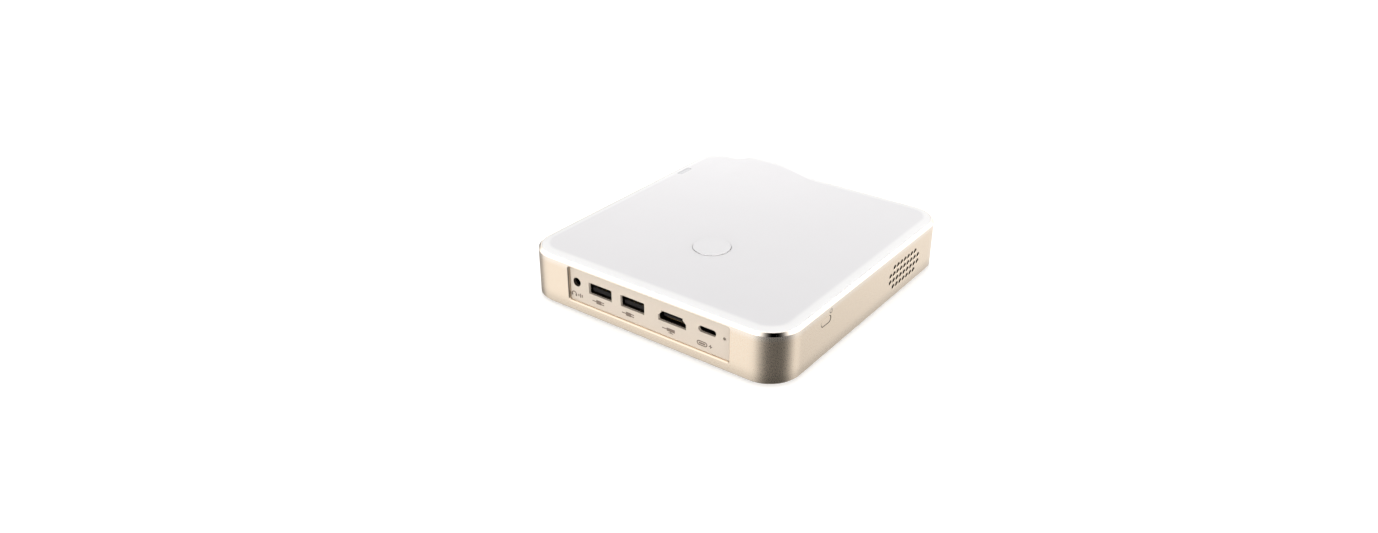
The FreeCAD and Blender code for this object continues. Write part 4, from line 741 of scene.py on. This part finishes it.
def spring_path(mouth, side):
    """Points of a leaf spring that bows into the port from its roof (1) or its floor (-1)."""
    wall = 2.5 * MM
    sag = 0.45 * MM if side > 0 else 0.35 * MM
    start = 0.4 * MM
    length = 6.5 * MM
    steps = 8
    path = []
    for step in range(steps + 1):
        share = step / steps
        bow = sag * math.sin(math.pi * share) ** 1.5
        path.append((mouth.y + start + length * share, mouth.z + side * (wall - bow)))
    return path


def add_usb_springs(material):
    """Leaf springs folded out of the roof and floor of each USB shell."""
    offset = 3.1 * MM
    width = 1.8 * MM
    thick = 0.12 * MM
    shape = bmesh.new()
    for mouth in usb_mouths():
        for x in (mouth.x - offset, mouth.x + offset):
            for side in (-1, 1):
                add_strip(shape, spring_path(mouth, side), x, width, -side * thick)
    add_piece("usb_leaf_springs", shape, material)


def add_video_contacts(material):
    """Rows of thin blades on both sides of the video port's tongue."""
    pitch = 1.0 * MM
    width = 0.44 * MM
    thick = 0.1 * MM
    crown = 0.06 * MM
    half_tongue = 0.5 * MM
    middle_x = middle_of("video_port_tongue").x
    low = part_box("video_port_tongue")[0]
    tongue_z = low.z + 1.45 * MM
    shape = bmesh.new()
    for side, count in ((1, 10), (-1, 9)):
        z = tongue_z + side * half_tongue
        path = [(low.y + 0.5 * MM, z), (low.y + 1.0 * MM, z + side * crown), (low.y + 6.5 * MM, z)]
        for index in range(count):
            x = middle_x + (index - (count - 1) / 2) * pitch
            add_strip(shape, path, x, width, side * thick)
    add_piece("video_port_contacts", shape, material)


def add_type_c_contacts(material):
    """Contact pads on both faces of the type C tongue."""
    pitch = 0.5 * MM
    count = 12
    width = 0.26 * MM
    thick = 0.04 * MM
    half_tongue = 0.35 * MM
    tongue = middle_of("type_c_port_tongue")
    tip_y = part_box("type_c_port_tongue")[0].y
    shape = bmesh.new()
    for side in (-1, 1):
        z = tongue.z + side * half_tongue
        path = [(tip_y + 0.3 * MM, z), (tip_y + 3.6 * MM, z)]
        for index in range(count):
            x = tongue.x + (index - (count - 1) / 2) * pitch
            add_strip(shape, path, x, width, side * thick)
    add_piece("type_c_contacts", shape, material)


# ------------------------------------------------------------------ stage, light and camera
def add_floor():
    """Plain pale floor, open when it is seen from below."""
    corners = [(-1, -1), (1, -1), (1, 1), (-1, 1)]
    mesh = bpy.data.meshes.new("floor")
    places = [(x * FLOOR_HALF, y * FLOOR_HALF, -FLOOR_DROP) for x, y in corners]
    mesh.from_pydata(places, [], [(0, 1, 2, 3)])
    s = Shader("floor_paper")
    fibre = s.noise(800, 3)
    from_below = s.add("ShaderNodeNewGeometry").outputs["Backfacing"]
    s.put(Base_Color=s.blend(fibre, (0.955, 0.955, 0.955), (0.965, 0.965, 0.965)), Roughness=0.9,
          Specular_IOR_Level=0.0, Alpha=s.calc("SUBTRACT", 1.0, from_below),
          Emission_Color=(1.0, 1.0, 1.0, 1.0), Emission_Strength=FLOOR_GLOW)
    mesh.materials.append(s.material)
    floor = bpy.data.objects.new("floor", mesh)
    bpy.context.scene.collection.objects.link(floor)
    floor.visible_glossy = False
    floor.visible_diffuse = False


class Surroundings(Nodes):
    """Light from every direction, laid out relative to the camera, so every side reads as metal.

    Turns are degrees in plan, counterclockwise from the side where the camera stands.  Heights
    are the Z part of the unit direction: -1 is straight down and 1 is straight up.
    """

    def __init__(self, tree):
        super().__init__(tree)
        x, y, self.height = self.axes(self.add("ShaderNodeTexCoord").outputs["Generated"])
        ahead = self.add("ShaderNodeVectorTransform", vector_type="VECTOR", convert_from="CAMERA",
                         convert_to="WORLD")
        ahead.inputs[0].default_value = (0, 0, 1)
        self.ahead_x, self.ahead_y, ahead_height = self.axes(ahead.outputs[0])
        self.ahead_level = self.level_part(ahead_height)
        lengths = self.product(self.level_part(self.height), self.ahead_level)
        self.lengths = self.calc("MAXIMUM", lengths, 0.001)
        self.towards = self.calc("MULTIPLY_ADD", x, self.ahead_x, self.product(y, self.ahead_y))
        self.sideways = self.calc("SUBTRACT", self.product(y, self.ahead_x), self.product(x, self.ahead_y))

    def level_part(self, height):
        """Length in plan of a unit direction of this height."""
        return self.calc("SQRT", self.calc("SUBTRACT", 1.0, self.product(height, height)))

    def facing(self, turn):
        """Cosine of the angle in plan between the direction and a turn from the camera's side."""
        angle = math.radians(turn)
        along = self.calc("MULTIPLY_ADD", self.towards, -math.cos(angle),
                          self.product(self.sideways, -math.sin(angle)))
        return self.calc("DIVIDE", along, self.lengths)

    def around(self, turn, outer, inner, start=0.0, end=1.0):
        """Smooth change from start, outer degrees away from a turn, to end, inner degrees away."""
        low, high = (math.cos(math.radians(angle)) for angle in (outer, inner))
        return self.step(self.facing(turn), low, high, start, end)

    def cornerwise(self):
        """From 0 where the camera faces a side squarely to 1 where it faces a corner."""
        doubled = self.product(self.ahead_x, self.ahead_y, 2.0)
        share = self.calc("DIVIDE", doubled, self.product(self.ahead_level, self.ahead_level))
        return self.calc("ABSOLUTE", share)

    def front_card(self):
        """Dark card that the near corner mirrors; it fades out when the camera faces a side."""
        low = self.product(self.step(self.height, -0.80, -0.64), self.step(self.height, -0.20, -0.36), 0.97)
        high = self.step(self.height, 0.60, 0.80)
        return self.product(self.around(FRONT_CARD_TURN, 74, 8), self.calc("ADD", low, high),
                            self.step(self.cornerwise(), 0.25, 0.90))

    def back_card(self):
        """Grey card behind, darker below the horizon than above it."""
        depth = self.calc("MULTIPLY_ADD", self.step(self.height, -0.2, 0.25), -0.55, 0.62)
        return self.product(self.around(-150, 44, 14), depth)

    def right_shade(self):
        """What the side on the right of the picture mirrors: dim low down, brighter higher up."""
        change = self.step(self.height, -0.62, -0.34, -0.42, 0.12)
        return self.calc("MULTIPLY_ADD", self.around(135, 38, 16), change, 1.0)

    def reflected(self):
        """Brightness that the metal mirrors."""
        below = self.step(self.height, -0.80, -0.56, 0.45, 1.0)
        above = self.step(self.height, 0.05, 0.40, 1.0, 1.75)
        left = self.around(FRONT_CARD_TURN - 90, 30, 0, 1.0, 1.12)
        return self.product(below, above, left, self.right_shade(),
                            self.calc("SUBTRACT", 1.0, self.front_card()),
                            self.calc("SUBTRACT", 1.0, self.back_card()))

    def diffuse(self):
        """Brightness that lights the dull surfaces: most from low in front, even from below."""
        above = self.calc("MAXIMUM", self.height, 0.0)
        low_sky = self.calc("POWER", self.calc("SUBTRACT", 1.0, above), 4.0)
        in_front = self.calc("MULTIPLY_ADD", self.facing(0), SKY_FRONT, 1.0)
        sky = self.calc("MULTIPLY_ADD", self.product(low_sky, in_front), SKY_EDGE, SKY_TOP)
        under_horizon = self.calc("LESS_THAN", self.height, 0.0)
        return self.calc("MULTIPLY_ADD", under_horizon, self.calc("SUBTRACT", 1.0, sky), sky)


def studio_world():
    """Bright even sky for the diffuse light; in reflections, dark cards shape the metal."""
    world = bpy.data.worlds.new("studio")
    bpy.context.scene.world = world
    world.use_nodes = True
    world.cycles.sampling_method = "NONE"
    w = Surroundings(world.node_tree)
    mix = w.add("ShaderNodeMix")
    w.join(w.add("ShaderNodeLightPath").outputs["Is Glossy Ray"], mix.inputs["Factor"])
    w.join(w.diffuse(), mix.inputs["A"])
    w.join(w.reflected(), mix.inputs["B"])
    background = w.tree.nodes["Background"]
    w.join(mix.outputs["Result"], background.inputs["Strength"])
    background.inputs["Color"].default_value = (1, 1, 1, 1)


def add_back_light():
    """Small softbox behind on the left, which lights the slope of the hump."""
    light = bpy.data.lights.new("back_light", "AREA")
    light.shape = "RECTANGLE"
    light.size = BACK_LIGHT_SIZE
    light.size_y = BACK_LIGHT_SIZE
    light.energy = BACK_LIGHT_WATTS
    lamp = bpy.data.objects.new("back_light", light)
    lamp.location = BACK_LIGHT_PLACE
    lamp.rotation_euler = (BACK_LIGHT_AIM - BACK_LIGHT_PLACE).to_track_quat("-Z", "Y").to_euler()
    lamp.visible_glossy = False
    bpy.context.scene.collection.objects.link(lamp)


def add_camera():
    """Camera above and to the right of the port face."""
    turn = math.radians(CAMERA_AZIMUTH)
    rise = math.radians(CAMERA_ELEVATION)
    back = Vector((math.sin(turn) * math.cos(rise), -math.cos(turn) * math.cos(rise), math.sin(rise)))
    data = bpy.data.cameras.new("camera")
    data.sensor_width = SENSOR_WIDTH
    data.lens = LENS_LENGTH
    data.clip_start = 0.01
    data.clip_end = 20.0
    camera = bpy.data.objects.new("camera", data)
    camera.location = CAMERA_AIM + back * CAMERA_DISTANCE
    camera.rotation_mode = "QUATERNION"
    camera.rotation_quaternion = (-back).to_track_quat("-Z", "Y")
    bpy.context.scene.collection.objects.link(camera)
    bpy.context.scene.camera = camera


# ------------------------------------------------------------------ build
materials = slot_materials()
dress_cad_nodes(materials)
mark_ink = moulded("mark_ink", (0.14, 0.10, 0.075), 0.5, variation=0.1)
add_printed_marks(mark_ink)
add_usb_springs(materials["port_steel"])
add_video_contacts(materials["gold_contact"])
add_type_c_contacts(materials["gold_contact"])
add_floor()
studio_world()
add_back_light()
add_camera()
bpy.context.scene.view_settings.view_transform = "Standard"
